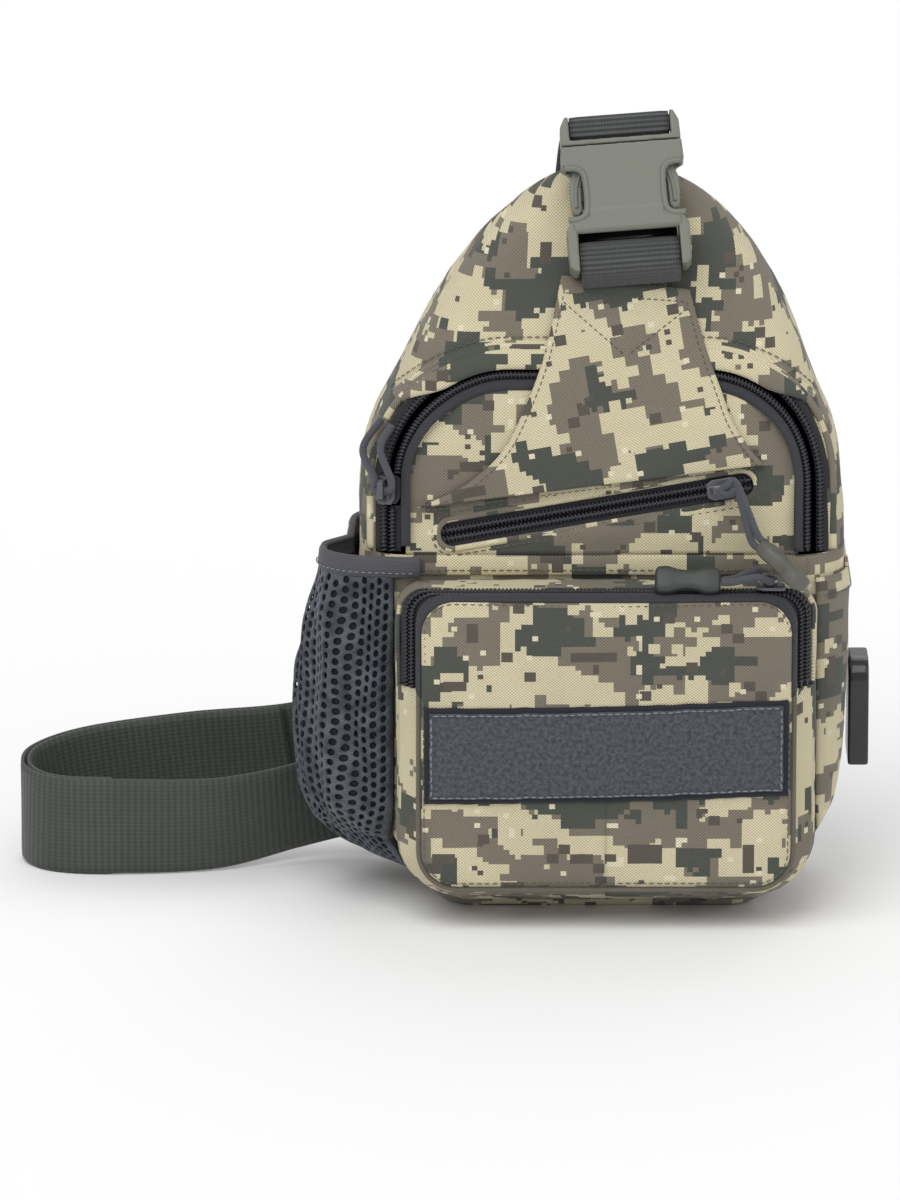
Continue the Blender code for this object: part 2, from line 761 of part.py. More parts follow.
def build_sliders():
    main = main_slider_frame()
    build_slider("main_slider", main)
    _, along, across, outward = main
    eye = bridge_eye(main)
    lower = eye + across * 3.4 + along * 0.6
    upper = eye - across * 3.4 + along * 0.6
    crest_a = front_point(-86.2, 179.0, 7.0)
    crest_b = front_point(-81.4, 180.5, 6.4)
    end_a = front_point(-81.2, 190.5, 4.4)
    end_b = front_point(-78.2, 189.2, 4.4)
    outer, inner = (lower, upper) if lower.x < upper.x else (upper, lower)
    stations = [end_a, crest_a, outer + along * 4.0, outer, eye, inner]
    stations += [inner + along * 4.0, crest_b, end_b]
    cord_tube("main_pull_cord", stations, outward, tuple(eye), 3)

    diag = diag_slider_frame()
    build_slider("diag_slider", diag)
    _, along, across, outward = diag
    eye = bridge_eye(diag)
    loop = [(eye - across * 0.85, outward, along), (eye + across * 0.85, outward, along)]
    add_solid("diag_cord_loop", *sweep(loop, circle(1.05, 10)), "cord", tuple(eye))
    grip_start = Vector((61.5, -53.5, 149.3))
    grip_way = Vector((13.0, -17.5, -9.8)).normalized()
    strand = grip_way.cross(outward).normalized() * 1.6
    near = eye + outward * 5.4 + along * 6.0
    if (grip_start + strand - near - across).length > (grip_start - strand - near - across).length:
        strand = -strand
    path = [grip_start + strand - grip_way * 0.4, grip_start + strand - grip_way * 7.0]
    path += [near + across * 1.75, eye + outward * 6.25 + along * 2.0 + across * 1.7]
    path += [eye + outward * 6.3 - along * 0.4]
    path += [eye + outward * 6.25 + along * 2.0 - across * 1.7, near - across * 1.75]
    path += [grip_start - strand - grip_way * 7.0, grip_start - strand - grip_way * 0.4]
    cord_tube("diag_pull_cord", path, outward, tuple(eye), 3)
    build_grip("diag_pull_grip", grip_start, grip_way, (0.0, 0.5, 0.85), tuple(eye))

    front = front_slider_frame()
    build_slider("front_slider", front)
    outward = front[3]
    eye = bridge_eye(front)
    grip_start = Vector((44.8, -60.0, 137.4))
    grip_way = Vector((-1.0, 0.0, 0.02)).normalized()
    strand = Vector((0.0, 1.6, 0.0))
    path = [grip_start + strand - grip_way * 0.4, grip_start + Vector((5.0, 2.2, 0.4))]
    path += [eye + Vector((-5.0, 4.6, 2.4)), eye + Vector((-0.4, 3.6, 0.4)), eye]
    path += [eye + Vector((-0.4, -3.6, 0.4)), eye + Vector((-5.0, -4.6, 2.4))]
    path += [grip_start + Vector((5.0, -2.2, 0.4)), grip_start - strand - grip_way * 0.4]
    cord_tube("front_pull_cord", path, outward, tuple(eye), 4)
    build_grip("front_pull_grip", grip_start, grip_way, (0.0, 0.0, 1.0), tuple(eye))


# ---- front pocket -----------------------------------------------------------------------------
def pocket_ring(y, inset, per_corner=4):
    half, low, high, upper, lower = between(POCKET_STATIONS, y)
    half, low, high = half - inset, low + inset, high - inset
    upper, lower = max(upper - inset, 0.5), lower - inset
    ring = []
    for cx, cz, radius, start in (
        (half - upper, high - upper, upper, 0),
        (-half + upper, high - upper, upper, 90),
        (-half + lower, low + lower, lower, 180),
        (half - lower, low + lower, lower, 270),
    ):
        for k in range(per_corner + 1):
            turn = math.radians(start + 90 * k / per_corner)
            ring.append(Vector((POCKET_X + cx + radius * math.cos(turn), y, cz + radius * math.sin(turn))))
    return ring


def pocket_shell(name):
    depths = [row[0] for row in POCKET_STATIONS]
    shell = add_solid(name, *loft([pocket_ring(y, 0.0) for y in depths]), "camo_fabric")
    inside = [pocket_ring(depths[0] + 6.0, POCKET_WALL)]
    inside += [pocket_ring(y, POCKET_WALL) for y in depths[:-1]]
    inside[-1] = [Vector((p.x, depths[-1] + POCKET_WALL, p.z)) for p in inside[-1]]
    combine(shell, helper(*loft(inside)), "DIFFERENCE")
    return shell


def pocket_zip_frames():
    """Frames round the pocket's gusset from the left leg, over the top, to the right leg."""
    half, low, high, radius, _ = between(POCKET_STATIONS, POCKET_ZIP_Y)
    marks = []
    for k in range(3):
        marks.append((-half, POCKET_FOLD_Z + 0.6 + (high - radius - POCKET_FOLD_Z - 0.6) * k / 3, 180))
    for k in range(5):
        turn = 180 - 90 * k / 5
        cosine, sine = math.cos(math.radians(turn)), math.sin(math.radians(turn))
        marks.append((-half + radius + radius * cosine, high - radius + radius * sine, turn))
    for k in range(4):
        marks.append((-half + radius + (2 * half - 2 * radius) * k / 4, high, 90))
    for k in range(5):
        turn = 90 - 90 * k / 5
        cosine, sine = math.cos(math.radians(turn)), math.sin(math.radians(turn))
        marks.append((half - radius + radius * cosine, high - radius + radius * sine, turn))
    for k in range(4):
        marks.append((half, high - radius + (POCKET_FOLD_Z + 0.6 - high + radius) * k / 3, 0))
    before = between(POCKET_STATIONS, POCKET_ZIP_Y - 3)
    after = between(POCKET_STATIONS, POCKET_ZIP_Y + 3)
    frames = []
    for x, z, turn in marks:
        out = Vector((math.cos(math.radians(turn)), 0.0, math.sin(math.radians(turn))))
        flare_x = (after[0] - before[0]) / 6
        flare_z = (after[2] - before[2]) / 6
        grow = abs(out.x) * flare_x + max(out.z, 0.0) * flare_z
        across = (Vector((0.0, 1.0, 0.0)) + out * grow).normalized()
        normal = (out - across * out.dot(across)).normalized()
        frames.append((Vector((POCKET_X + x, POCKET_ZIP_Y, z)) - normal * TAPE_DEPTH, across, normal))
    return frames


def build_front_pocket():
    pocket = pocket_shell("front_pocket")
    band_back = POCKET_ZIP_Y + POCKET_ZIP_HALF
    mouth = box((-100.0, -90.0, POCKET_FOLD_Z), (100.0, band_back, 160.0))
    combine(pocket, helper(*mouth), "DIFFERENCE")
    flap = pocket_shell("front_flap")
    band_front = POCKET_ZIP_Y - POCKET_ZIP_HALF
    keep = box((-100.0, -90.0, POCKET_FOLD_Z + 0.4), (100.0, band_front, 160.0))
    combine(flap, helper(*keep), "INTERSECT")
    hinge = Vector((POCKET_X, POCKET_STATIONS[-1][0] - 0.4, POCKET_FOLD_Z))
    set_origin(flap, hinge)
    frames = pocket_zip_frames()
    gusset_half = zip_half(POCKET_ZIP_HALF - 0.4, COIL_GAP)
    add_solid("front_zip_gusset_half", *sweep(frames, gusset_half), "zip")
    flap_half = zip_half(-POCKET_ZIP_HALF + 0.4, -COIL_GAP)
    add_solid("front_zip_flap_half", *sweep(frames, flap_half), "zip", tuple(hinge))
    face = POCKET_STATIONS[-1][0] - 0.3
    width, height, thick = PATCH_SIZE
    low = (POCKET_X - width / 2, face - thick, PATCH_Z - height / 2)
    high = (POCKET_X + width / 2, face, PATCH_Z + height / 2)
    add_solid("loop_patch", *box(low, high), "loop_tape")


def set_origin(solid, point):
    """Moves an object's origin without moving its shape."""
    move = Vector(point) * MM - solid.location
    solid.data.transform(Matrix.Translation(-move))
    solid.location = solid.location + move


# ---- side pockets -----------------------------------------------------------------------------
def mesh_bulge(turn, z):
    """How far the mesh pocket stands off the body's left side."""
    rise = min(max((z - MESH_BOTTOM) / 34.0, 0.0), 1.0)
    rise = rise * rise * (3 - 2 * rise)
    neck = 1.0 - 0.42 * min(max((z - 92.0) / 50.0, 0.0), 1.0)
    first = side_turn(MESH_FROM_X, z)
    across = (turn - first) / (MESH_TO - first)
    belly = math.sin(math.pi * min(max(across, 0.0), 1.0)) ** 0.8
    return 1.1 + MESH_BULGE * rise * neck * belly


def mesh_grid(low, high, rows, extra, from_x, columns=17):
    grid = []
    for i in range(rows):
        z = low + (high - low) * i / (rows - 1)
        first = side_turn(from_x, z)
        row = []
        for k in range(columns):
            turn = first + (MESH_TO - first) * k / (columns - 1)
            row.append(side_point(turn, z, mesh_bulge(turn, z) + extra, -1.0))
        grid.append(row)
    return grid


def build_mesh_pocket():
    outer = mesh_grid(MESH_BOTTOM, MESH_TOP, 12, MESH_THICK, MESH_FROM_X)
    inner = mesh_grid(MESH_BOTTOM, MESH_TOP, 12, 0.0, MESH_FROM_X)
    add_solid("mesh_pocket", *sheet(outer, inner), "mesh")
    outer = mesh_grid(MESH_TOP + 0.3, BINDING_TOP, 3, MESH_THICK + 0.6, BINDING_FROM_X)
    inner = mesh_grid(MESH_TOP + 0.3, BINDING_TOP, 3, -0.2, BINDING_FROM_X)
    add_solid("mesh_pocket_binding", *sheet(outer, inner), "grey_binding")


def build_right_pocket():
    grids = []
    for out in (2.8, 1.4):
        grid = []
        for i in range(9):
            z = 18.0 + (SIDE_POCKET_TOP - 18.0) * i / 8
            first = side_turn(RIGHT_FROM_X, z)
            row = []
            for k in range(11):
                turn = first + (0.93 - first) * k / 10
                row.append(side_point(turn, z, out, 1.0))
            grid.append(row)
        grids.append(grid)
    add_solid("right_side_pocket", *sheet(*grids), "camo_fabric")


def build_usb():
    """Charging-socket housing: a rounded block with a downward socket in it."""
    x0, x1 = USB_X
    y0, y1 = USB_Y
    z0, z1 = USB_Z
    outline = [(y0, z0), (y1, z0)]
    radius = 8.0
    for cy, start in ((y1 - radius, 0), (y0 + radius, 90)):
        for k in range(5):
            turn = math.radians(start + 22.5 * k)
            outline.append((cy + radius * math.cos(turn), z1 - radius + radius * math.sin(turn)))

    def place(p, q, r):
        return (r, p, q)

    housing = add_solid("usb_housing", *prism(outline, place, x0, x1), "black_plastic")
    middle_y = (y0 + y1) / 2
    well = box((x0 + 1.2, middle_y - 7.4, z0 - 2.0), (x1 - 1.2, middle_y + 7.4, z0 + 14.0))
    combine(housing, helper(*well), "DIFFERENCE")
    low = (x0 + 1.4, middle_y - 7.2, z0 + 0.3)
    high = (x1 - 1.4, middle_y + 7.2, z0 + 13.8)
    socket = add_solid("usb_socket", *box(low, high), "socket_metal")
    hollow_low = (low[0] + 0.4, low[1] + 0.4, low[2] - 2.0)
    hollow_high = (high[0] - 0.4, high[1] - 0.4, high[2] - 0.6)
    combine(socket, helper(*box(hollow_low, hollow_high)), "DIFFERENCE")
    tongue_low = (x0 + 2.1, middle_y - 5.6, z0 + 1.6)
    tongue_high = (x0 + 3.9, middle_y + 5.6, z0 + 12.9)
    add_solid("usb_tongue", *box(tongue_low, tongue_high), "black_plastic")


# ---- buckle -----------------------------------------------------------------------------------
def buckle_axes():
    up = Vector((-math.sin(BUCKLE_TILT), 0.0, 0.0))
    rise = math.cos(BUCKLE_TILT)
    up = up + Vector((0.0, math.sin(BUCKLE_LEAN), math.cos(BUCKLE_LEAN))) * rise
    back = Vector((0.0, math.cos(BUCKLE_LEAN), -math.sin(BUCKLE_LEAN)))
    right = back.cross(up).normalized()
    back = up.cross(right).normalized()
    return right, up, back


def buckle_place(u, w, b):
    """A point in the buckle's own directions: across, up along it, and towards the bag."""
    right, up, back = buckle_axes()
    return Vector(BUCKLE_FOOT) + right * u + up * w + back * b


def buckle_flat(p, q, r):
    return buckle_place(p, q, r)


def buckle_box(low, high):
    points = []
    for b in (low[2], high[2]):
        for u, w in ((low[0], low[1]), (high[0], low[1]), (high[0], high[1]), (low[0], high[1])):
            points.append(buckle_place(u, w, b))
    return points, tube_faces(2, 4)


def mirrored(outline):
    return outline + [(-u, w) for u, w in reversed(outline)]


def build_buckle():
    bar_middle = (BAR_LOW[0] + BAR_LOW[1]) / 2
    hinge = tuple(buckle_place(0.0, bar_middle, 0.0))
    depth = SHELL_DEPTH
    half = SHELL_HALF
    outline = mirrored([
        (half - 2.0, 0.0),
        (half - 0.2, 2.0),
        (half, 16.0),
        (half - 2.6, 20.5),
        (half - 2.8, 40.0),
        (half, 41.5),
        (half - 0.4, SHELL_TOP),
    ])
    shell = add_solid("buckle_shell", *prism(outline, buckle_flat, -depth, depth), "buckle", hinge)
    slot = buckle_box((-WEBBING / 2 - 0.4, BAR_LOW[1], -9.0), (WEBBING / 2 + 0.4, 19.0, 9.0))
    combine(shell, helper(*slot), "DIFFERENCE")
    below = buckle_box((-WEBBING / 2 - 0.4, -3.0, -9.0), (WEBBING / 2 + 0.4, BAR_LOW[0], 9.0))
    combine(shell, helper(*below), "DIFFERENCE")
    for low, high in ((-9.0, -2.2), (2.2, 9.0)):
        trim = buckle_box((-WEBBING / 2 - 0.4, 3.0, low), (WEBBING / 2 + 0.4, 10.0, high))
        combine(shell, helper(*trim), "DIFFERENCE")
    for side in (-1.0, 1.0):
        window = [(15.5, 23.5), (17.5, 21.0), (28.0, 21.0), (28.0, 39.5), (18.0, 39.5), (15.5, 37.0)]
        window = [(side * u, w) for u, w in window]
        combine(shell, helper(*prism(window, buckle_flat, -9.0, 9.0)), "DIFFERENCE")
    cavity = buckle_box((-21.4, 21.6, -3.4), (21.4, 60.0, 3.4))
    combine(shell, helper(*cavity), "DIFFERENCE")

    insert_outline = [(-23.0, 49.6), (23.0, 49.6), (22.8, 57.0), (20.8, BUCKLE_TOP)]
    insert_outline += [(-20.8, BUCKLE_TOP), (-22.8, 57.0)]
    insert = prism(insert_outline, buckle_flat, -depth + 1.2, depth - 1.2)
    solid = add_solid("buckle_insert", *insert, "buckle", hinge)
    slot = buckle_box((-WEBBING / 2 - 0.4, 51.6, -9.0), (WEBBING / 2 + 0.4, BAR_HIGH[0], 9.0))
    combine(solid, helper(*slot), "DIFFERENCE")
    above = buckle_box((-WEBBING / 2 - 0.4, BAR_HIGH[1], -9.0), (WEBBING / 2 + 0.4, 65.0, 9.0))
    combine(solid, helper(*above), "DIFFERENCE")
    for low, high in ((-9.0, -2.2), (2.2, 9.0)):
        trim = buckle_box((-WEBBING / 2 - 0.4, 53.0, low), (WEBBING / 2 + 0.4, 62.0, high))
        combine(solid, helper(*trim), "DIFFERENCE")
    tongue = buckle_box((-5.0, 27.0, -2.9), (5.0, 50.5, 2.9))
    combine(solid, helper(*tongue), "UNION")

    for name, side in (("prong_left", -1.0), ("prong_right", 1.0)):
        arm = [(14.2, 49.2), (13.6, 42.0), (16.4, 34.0), (16.6, 24.0), (18.2, 22.2)]
        arm += [(20.4, 23.2), (21.0, 28.0), (21.0, 35.0), (18.6, 42.0), (17.8, 49.2)]
        arm = [(side * u, w) for u, w in arm]
        pivot = tuple(buckle_place(side * 16.0, 49.0, 0.0))
        add_solid(name, *prism(arm, buckle_flat, -3.0, 3.0), "buckle", pivot)

    frames = []
    front_leg = [(-3.2, 6.6), (-2.4, 3.0), (-0.2, -1.8), (3.0, -4.3), (6.5, -4.4)]
    turn_top = [(9.6, -3.8), (11.3, -1.6), (11.3, 1.6), (9.6, 3.8)]
    back_leg = [(6.5, 4.4), (3.8, 4.9), (1.6, 6.4)]
    for w, b in front_leg + turn_top + back_leg:
        frames.append(Vector((w, b)))
    loop = webbing_loop(frames, 1.3)
    origin = (0.0, FLAP_HINGE_Y, FLAP_HINGE_Z)
    add_solid("lower_webbing", *loop, "webbing", origin)
    top_leg = [(56.6, 9.0), (53.6, 4.2), (53.2, 1.5), (53.2, -1.5), (54.2, -3.2)]
    top_turn = [(56.0, -3.6), (58.0, -3.6), (59.8, -3.2), (60.8, -1.5), (60.8, 1.5)]
    far_leg = [(60.2, 4.2), (58.4, 9.0)]
    frames = [Vector(p) for p in top_leg + top_turn + far_leg]
    add_solid("upper_webbing", *webbing_loop(frames, 1.2), "webbing", hinge)


def webbing_loop(line, thick):
    """Webbing that follows a line of (up, back) pairs in the buckle's middle plane."""
    left = []
    right = []
    for i, point in enumerate(line):
        before = line[max(i - 1, 0)]
        after = line[min(i + 1, len(line) - 1)]
        along = (after - before).normalized()
        side = Vector((-along.y, along.x)) * thick / 2
        left.append(point + side)
        right.append(point - side)
    points = []
    for outline_point in left + right[::-1]:
        points.append(outline_point)
    rings = []
    for u in (-WEBBING / 2, WEBBING / 2):
        rings.append([buckle_place(u, p.x, p.y) for p in points])
    rows = len(rings[0])
    faces = []
    for j in range(rows):
        faces.append((j, (j + 1) % rows, rows + (j + 1) % rows, rows + j))
    count = len(left)
    for j in range(count - 1):
        a, b = j, j + 1
        c, d = rows - 2 - j, rows - 1 - j
        faces.append((a, b, c, d))
        faces.append((rows + d, rows + c, rows + b, rows + a))
    return [p for ring in rings for p in ring], faces


# ---- strap ------------------------------------------------------------------------------------
# Each station is a point of the strap's middle line and its width direction there.
STRAP_STATIONS = [
    ((-93.0, 36.2, 29.0), (0.0, 0.0, 1.0)),
    ((-100.0, 34.6, 28.0), (0.0, 0.0, 1.0)),
    ((-118.0, 26.0, 24.0), (0.0, -0.25, 1.0)),
    ((-150.0, 14.5, 19.9), (0.0, -0.12, 1.0)),
    ((-190.0, 11.5, 19.7), (0.0, 0.0, 1.0)),
    ((-214.0, 16.0, 19.7), (0.0, 0.0, 1.0)),
    ((-225.0, 31.0, 20.8), (0.0, 0.0, 1.0)),
    ((-221.0, 48.0, 23.5), (0.0, 0.0, 1.0)),
    ((-200.0, 60.0, 27.5), (0.0, 0.0, 1.0)),
    ((-160.0, 65.0, 32.0), (0.0, 0.0, 1.0)),
    ((-118.0, 65.0, 36.0), (-0.08, 0.0, 1.0)),
    ((-78.0, 62.5, 47.0), (-0.35, 0.0, 1.0)),
    ((-40.0, 59.5, 72.0), (-0.75, 0.0, 0.8)),
    ((-13.0, 57.0, 108.0), (-1.0, 0.0, 0.42)),
    ((0.0, 55.0, 148.0), (-1.0, 0.0, 0.0)),
    ((0.0, 55.0, 248.0), (-1.0, 0.0, 0.0)),
    ((1.5, 52.5, 268.0), (-1.0, 0.0, 0.0)),
    ((3.0, 45.0, 284.0), (-1.0, 0.0, -0.03)),
    ((4.6, 31.0, 292.8), (-1.0, 0.0, -0.06)),
    ((6.2, 17.4, 295.8), (-1.0, 0.0, -0.08)),
]
STRAP_STEPS = 5
ADJUSTER_Z = 196.0


def strap_frames(out):
    centres = smooth_path([s[0] for s in STRAP_STATIONS], STRAP_STEPS)
    widths = smooth_path([s[1] for s in STRAP_STATIONS], STRAP_STEPS)
    frames = []
    for i, centre in enumerate(centres):
        before = centres[max(i - 1, 0)]
        after = centres[min(i + 1, len(centres) - 1)]
        along = (after - before).normalized()
        width = widths[i].normalized()
        width = (width - along * width.dot(along)).normalized()
        normal = along.cross(width)
        frames.append((centre + normal * out, width, normal))
    return frames


def build_strap():
    half = WEBBING / 2
    thick = STRAP_THICK / 2
    section = [(-half, -thick), (half, -thick), (half, thick), (-half, thick)]
    add_solid("shoulder_strap", *sweep(strap_frames(0.0), section), "webbing")
    second = strap_frames(2.5)[4 * STRAP_STEPS : 10 * STRAP_STEPS]
    add_solid("strap_second_layer", *sweep(second, section), "webbing")
    x, y = STRAP_STATIONS[-5][0][0:2]
    frame_low = (x - 23.5, y - 2.6, ADJUSTER_Z - 14.0)
    frame_high = (x + 23.5, y + 2.6, ADJUSTER_Z + 14.0)
    adjuster = add_solid("strap_adjuster", *box(frame_low, frame_high), "buckle", (x, y, ADJUSTER_Z))
    channel = box((x - 20.0, y - 1.2, ADJUSTER_Z - 20.0), (x + 20.0, y + 1.2, ADJUSTER_Z + 20.0))
    combine(adjuster, helper(*channel), "DIFFERENCE")
    for low, high, y0, y1 in (
        (-10.0, -3.0, -5.0, 0.0),
        (3.0, 10.0, -5.0, 0.0),
        (-10.0, -3.0, 0.0, 5.0),
        (3.0, 10.0, 0.0, 5.0),
    ):
        cut = box((x - 19.6, y + y0, ADJUSTER_Z + low), (x + 19.6, y + y1, ADJUSTER_Z + high))
        combine(adjuster, helper(*cut), "DIFFERENCE")
    line = [(-85.8, 37.6, 29.0), (-92.5, 38.8, 29.0), (-99.4, 37.1, 28.2)]
    frames = path_frames(line, (0.0, 0.0, 1.0))
    tab = [(-13.0, -0.7), (13.0, -0.7), (13.0, 0.7), (-13.0, 0.7)]
    add_solid("strap_anchor_tab", *sweep(frames, tab), "camo_fabric")


build_body()
build_back_pads()
build_inner_sleeve()
build_main_zip()
build_flap()
build_triangle()
build_sliders()
build_front_pocket()
build_mesh_pocket()
build_right_pocket()
build_usb()
build_buckle()
build_strap()
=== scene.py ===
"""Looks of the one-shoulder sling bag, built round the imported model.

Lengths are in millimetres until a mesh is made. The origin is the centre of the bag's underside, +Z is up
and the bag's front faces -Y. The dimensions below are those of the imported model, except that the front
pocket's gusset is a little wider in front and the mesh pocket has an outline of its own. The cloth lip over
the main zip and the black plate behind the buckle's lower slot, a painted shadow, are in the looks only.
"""

import math
from functools import lru_cache

import bmesh
import bpy
import numpy as np
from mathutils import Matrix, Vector, noise


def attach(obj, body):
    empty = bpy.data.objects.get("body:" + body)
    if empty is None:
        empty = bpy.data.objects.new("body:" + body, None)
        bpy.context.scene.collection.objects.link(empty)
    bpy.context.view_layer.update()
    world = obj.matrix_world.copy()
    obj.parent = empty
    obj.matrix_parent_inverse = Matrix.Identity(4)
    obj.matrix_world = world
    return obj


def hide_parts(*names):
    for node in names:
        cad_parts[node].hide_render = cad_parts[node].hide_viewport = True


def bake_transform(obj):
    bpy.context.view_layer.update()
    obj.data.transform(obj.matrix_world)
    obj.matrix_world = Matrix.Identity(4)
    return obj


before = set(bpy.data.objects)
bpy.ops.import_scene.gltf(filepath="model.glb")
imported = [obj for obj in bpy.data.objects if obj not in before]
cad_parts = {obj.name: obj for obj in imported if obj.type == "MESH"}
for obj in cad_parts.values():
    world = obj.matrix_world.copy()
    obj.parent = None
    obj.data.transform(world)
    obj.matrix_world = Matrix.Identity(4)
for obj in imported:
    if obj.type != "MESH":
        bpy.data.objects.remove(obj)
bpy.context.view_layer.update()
MM = 0.001

# ---- body: height, half width, front line and back line of the outline ------------------------------
BODY_STATIONS = [
    (0.0, 58.0, -30.0, 32.0),
    (3.0, 62.0, -34.5, 35.5),
    (7.0, 66.0, -37.0, 37.2),
    (15.0, 72.0, -38.0, 38.0),
    (29.0, 80.5, -38.0, 38.0),
    (45.0, 88.0, -38.0, 38.0),
    (64.0, 91.0, -38.0, 38.0),
    (98.0, 92.5, -38.0, 38.0),
    (135.0, 93.0, -38.0, 38.0),
    (152.0, 93.0, -35.3, 38.0),
    (170.0, 92.0, -32.3, 38.0),
    (186.0, 88.0, -29.2, 38.0),
    (202.0, 80.5, -25.6, 38.0),
    (217.0, 74.0, -21.5, 38.0),
    (232.0, 66.5, -16.3, 37.6),
    (246.0, 58.5, -10.6, 37.0),
    (257.0, 50.0, -4.6, 36.2),
    (266.0, 41.0, 1.2, 35.0),
    (273.0, 32.0, 7.0, 33.4),
    (279.0, 20.0, 13.0, 31.0),
    (282.0, 10.0, 17.0, 28.0),
]
BODY_TOP = 282.0
CORNER_RADIUS = 18.0
LOW_CORNER_RADIUS = 10.0
TOP_LEAN = 5.0
LEAN_FROM = 168.0
LEAN_OVER = 110.0
SIDE_FRONT = 12.0
# How many points of the body's outline lie along its front and back, round each corner and along each side.
RING_ACROSS = 60
RING_AROUND = 9
RING_SIDE = 14
BACK_MIDDLE = RING_ACROSS * 3 // 2 + 2 * RING_AROUND + RING_SIDE

# ---- main zip and flap -------------------------------------------------------------------------------
ARCH_HALF_WIDTH = 82.0
ARCH_TOP = 213.0
ARCH_RADIUS = 45.0
HINGE_Z = 142.0
BODY_EDGE = 5.0
FLAP_EDGE = -7.0
SLIDER_Z = 166.0
ZIP_DEPTH = 1.2
ZIP_FOOT = 143.0
COIL_PITCH = 1.5
COIL_WIRE = 0.36
COIL_TALL = 0.95

# ---- diagonal zip ------------------------------------------------------------------------------------
DIAG_ANGLE = math.radians(9.5)
DIAG_LEFT = (-62.0, 148.9)
DIAG_LENGTH = 122.0
DIAG_SLOT = 10.0
DIAG_SLIDER_AT = 109.0

# ---- the sides of the reinforcing panel, as points (x, z) from its foot to its top --------------------
PANEL_LEFT = [(-70.5, 160.0), (-53.0, 168.0), (-39.0, 180.0), (-30.5, 195.0), (-22.0, 217.0), (-15.5, 245.0)]
PANEL_RIGHT = [(62.0, 176.0), (56.5, 182.0), (50.0, 192.0), (45.0, 205.0), (39.0, 221.0), (33.5, 240.0)]

# ---- front pocket: depth, half width, underside, top, upper and lower corner radius -------------------
POCKET_STATIONS = [
    (-38.4, 80.5, 5.0, 132.6, 12.0, 30.0),
    (-46.0, 80.5, 8.0, 132.8, 11.0, 27.0),
    (-53.0, 79.5, 11.0, 132.8, 10.0, 23.0),
    (-57.5, 75.6, 13.0, 132.6, 9.0, 20.0),
    (-62.0, 71.6, 15.4, 132.0, 10.5, 17.0),
    (-65.2, 70.8, 17.8, 131.2, 12.0, 14.0),
    (-66.5, 69.8, 19.8, 129.6, 12.5, 12.0),
]
POCKET_X = 1.5
POCKET_MIDDLE = 75.0
POCKET_CORNER_STEPS = 10
FOLD_Z = 95.0
POCKET_ZIP_Y = -57.5
FRONT_SLIDER_X = 64.0
POCKET_ZIP_FOOT = FOLD_Z + 0.6
PATCH_Z = 72.0
PATCH_HALF_X = 69.6
PATCH_HALF_Z = 19.0
PATCH_TILT = 1.7
PATCH_SAG = 0.9

# ---- side pockets, buckle and strap ------------------------------------------------------------------
MESH_TOP = 134.0
MESH_BOTTOM = 14.5
MESH_BULGE = 27.0
MESH_FROM_X = 79.2
BINDING_FROM_X = 69.5
MESH_TO = 0.85
MESH_OUT = 1.6
MESH_WIDE = 118.0
MESH_PITCH = 3.9
MESH_HEM = -6.0
MESH_ROUND = 32.0
# Each station is a height and how full the mesh pocket is there.
MESH_FULLNESS = [
    (14.0, 1.06),
    (24.0, 1.06),
    (32.0, 1.01),
    (44.0, 0.93),
    (60.0, 0.89),
    (76.0, 0.85),
    (90.0, 0.80),
    (110.0, 0.75),
    (130.0, 0.59),
    (142.0, 0.50),
]
RIGHT_FROM_X = 81.6
SIDE_POCKET_TOP = 133.0
WEBBING = 38.0
BUCKLE_FOOT = (11.0, -20.5, 249.5)
BUCKLE_TILT = math.radians(4.5)
BUCKLE_LEAN = math.radians(27.0)
# Each station is a point of the strap's middle line and its width direction there.
STRAP_STATIONS = [
    ((-93.0, 36.2, 29.0), (0.0, 0.0, 1.0)),
    ((-100.0, 34.6, 28.0), (0.0, 0.0, 1.0)),
    ((-118.0, 26.0, 24.0), (0.0, -0.25, 1.0)),
    ((-150.0, 14.5, 19.9), (0.0, -0.12, 1.0)),
    ((-190.0, 11.5, 19.7), (0.0, 0.0, 1.0)),
    ((-214.0, 16.0, 19.7), (0.0, 0.0, 1.0)),
    ((-225.0, 31.0, 20.8), (0.0, 0.0, 1.0)),
    ((-221.0, 48.0, 23.5), (0.0, 0.0, 1.0)),
    ((-200.0, 60.0, 27.5), (0.0, 0.0, 1.0)),
    ((-160.0, 65.0, 32.0), (0.0, 0.0, 1.0)),
    ((-118.0, 65.0, 36.0), (-0.08, 0.0, 1.0)),
    ((-78.0, 62.5, 47.0), (-0.35, 0.0, 1.0)),
    ((-40.0, 59.5, 72.0), (-0.75, 0.0, 0.8)),
    ((-13.0, 57.0, 108.0), (-1.0, 0.0, 0.42)),
    ((0.0, 55.0, 148.0), (-1.0, 0.0, 0.0)),
    ((0.0, 55.0, 248.0), (-1.0, 0.0, 0.0)),
    ((1.5, 52.5, 268.0), (-1.0, 0.0, 0.0)),
    ((3.0, 45.0, 284.0), (-1.0, 0.0, -0.03)),
    ((4.6, 31.0, 292.8), (-1.0, 0.0, -0.06)),
    ((6.2, 17.4, 295.8), (-1.0, 0.0, -0.08)),
]

# ---- pulls -------------------------------------------------------------------------------------------
CORD_RADIUS = 1.45
EYE_HEIGHT = 5.75
GRIP_LENGTH = 25.0

# ---- camera, in metres -------------------------------------------------------------------------------
CAMERA_RISE = math.radians(15.0)
CAMERA_DISTANCE = 4.0
CAMERA_TARGET = Vector((-0.0581, -0.020, 0.1194))
FRAME_HEIGHT = 0.4615

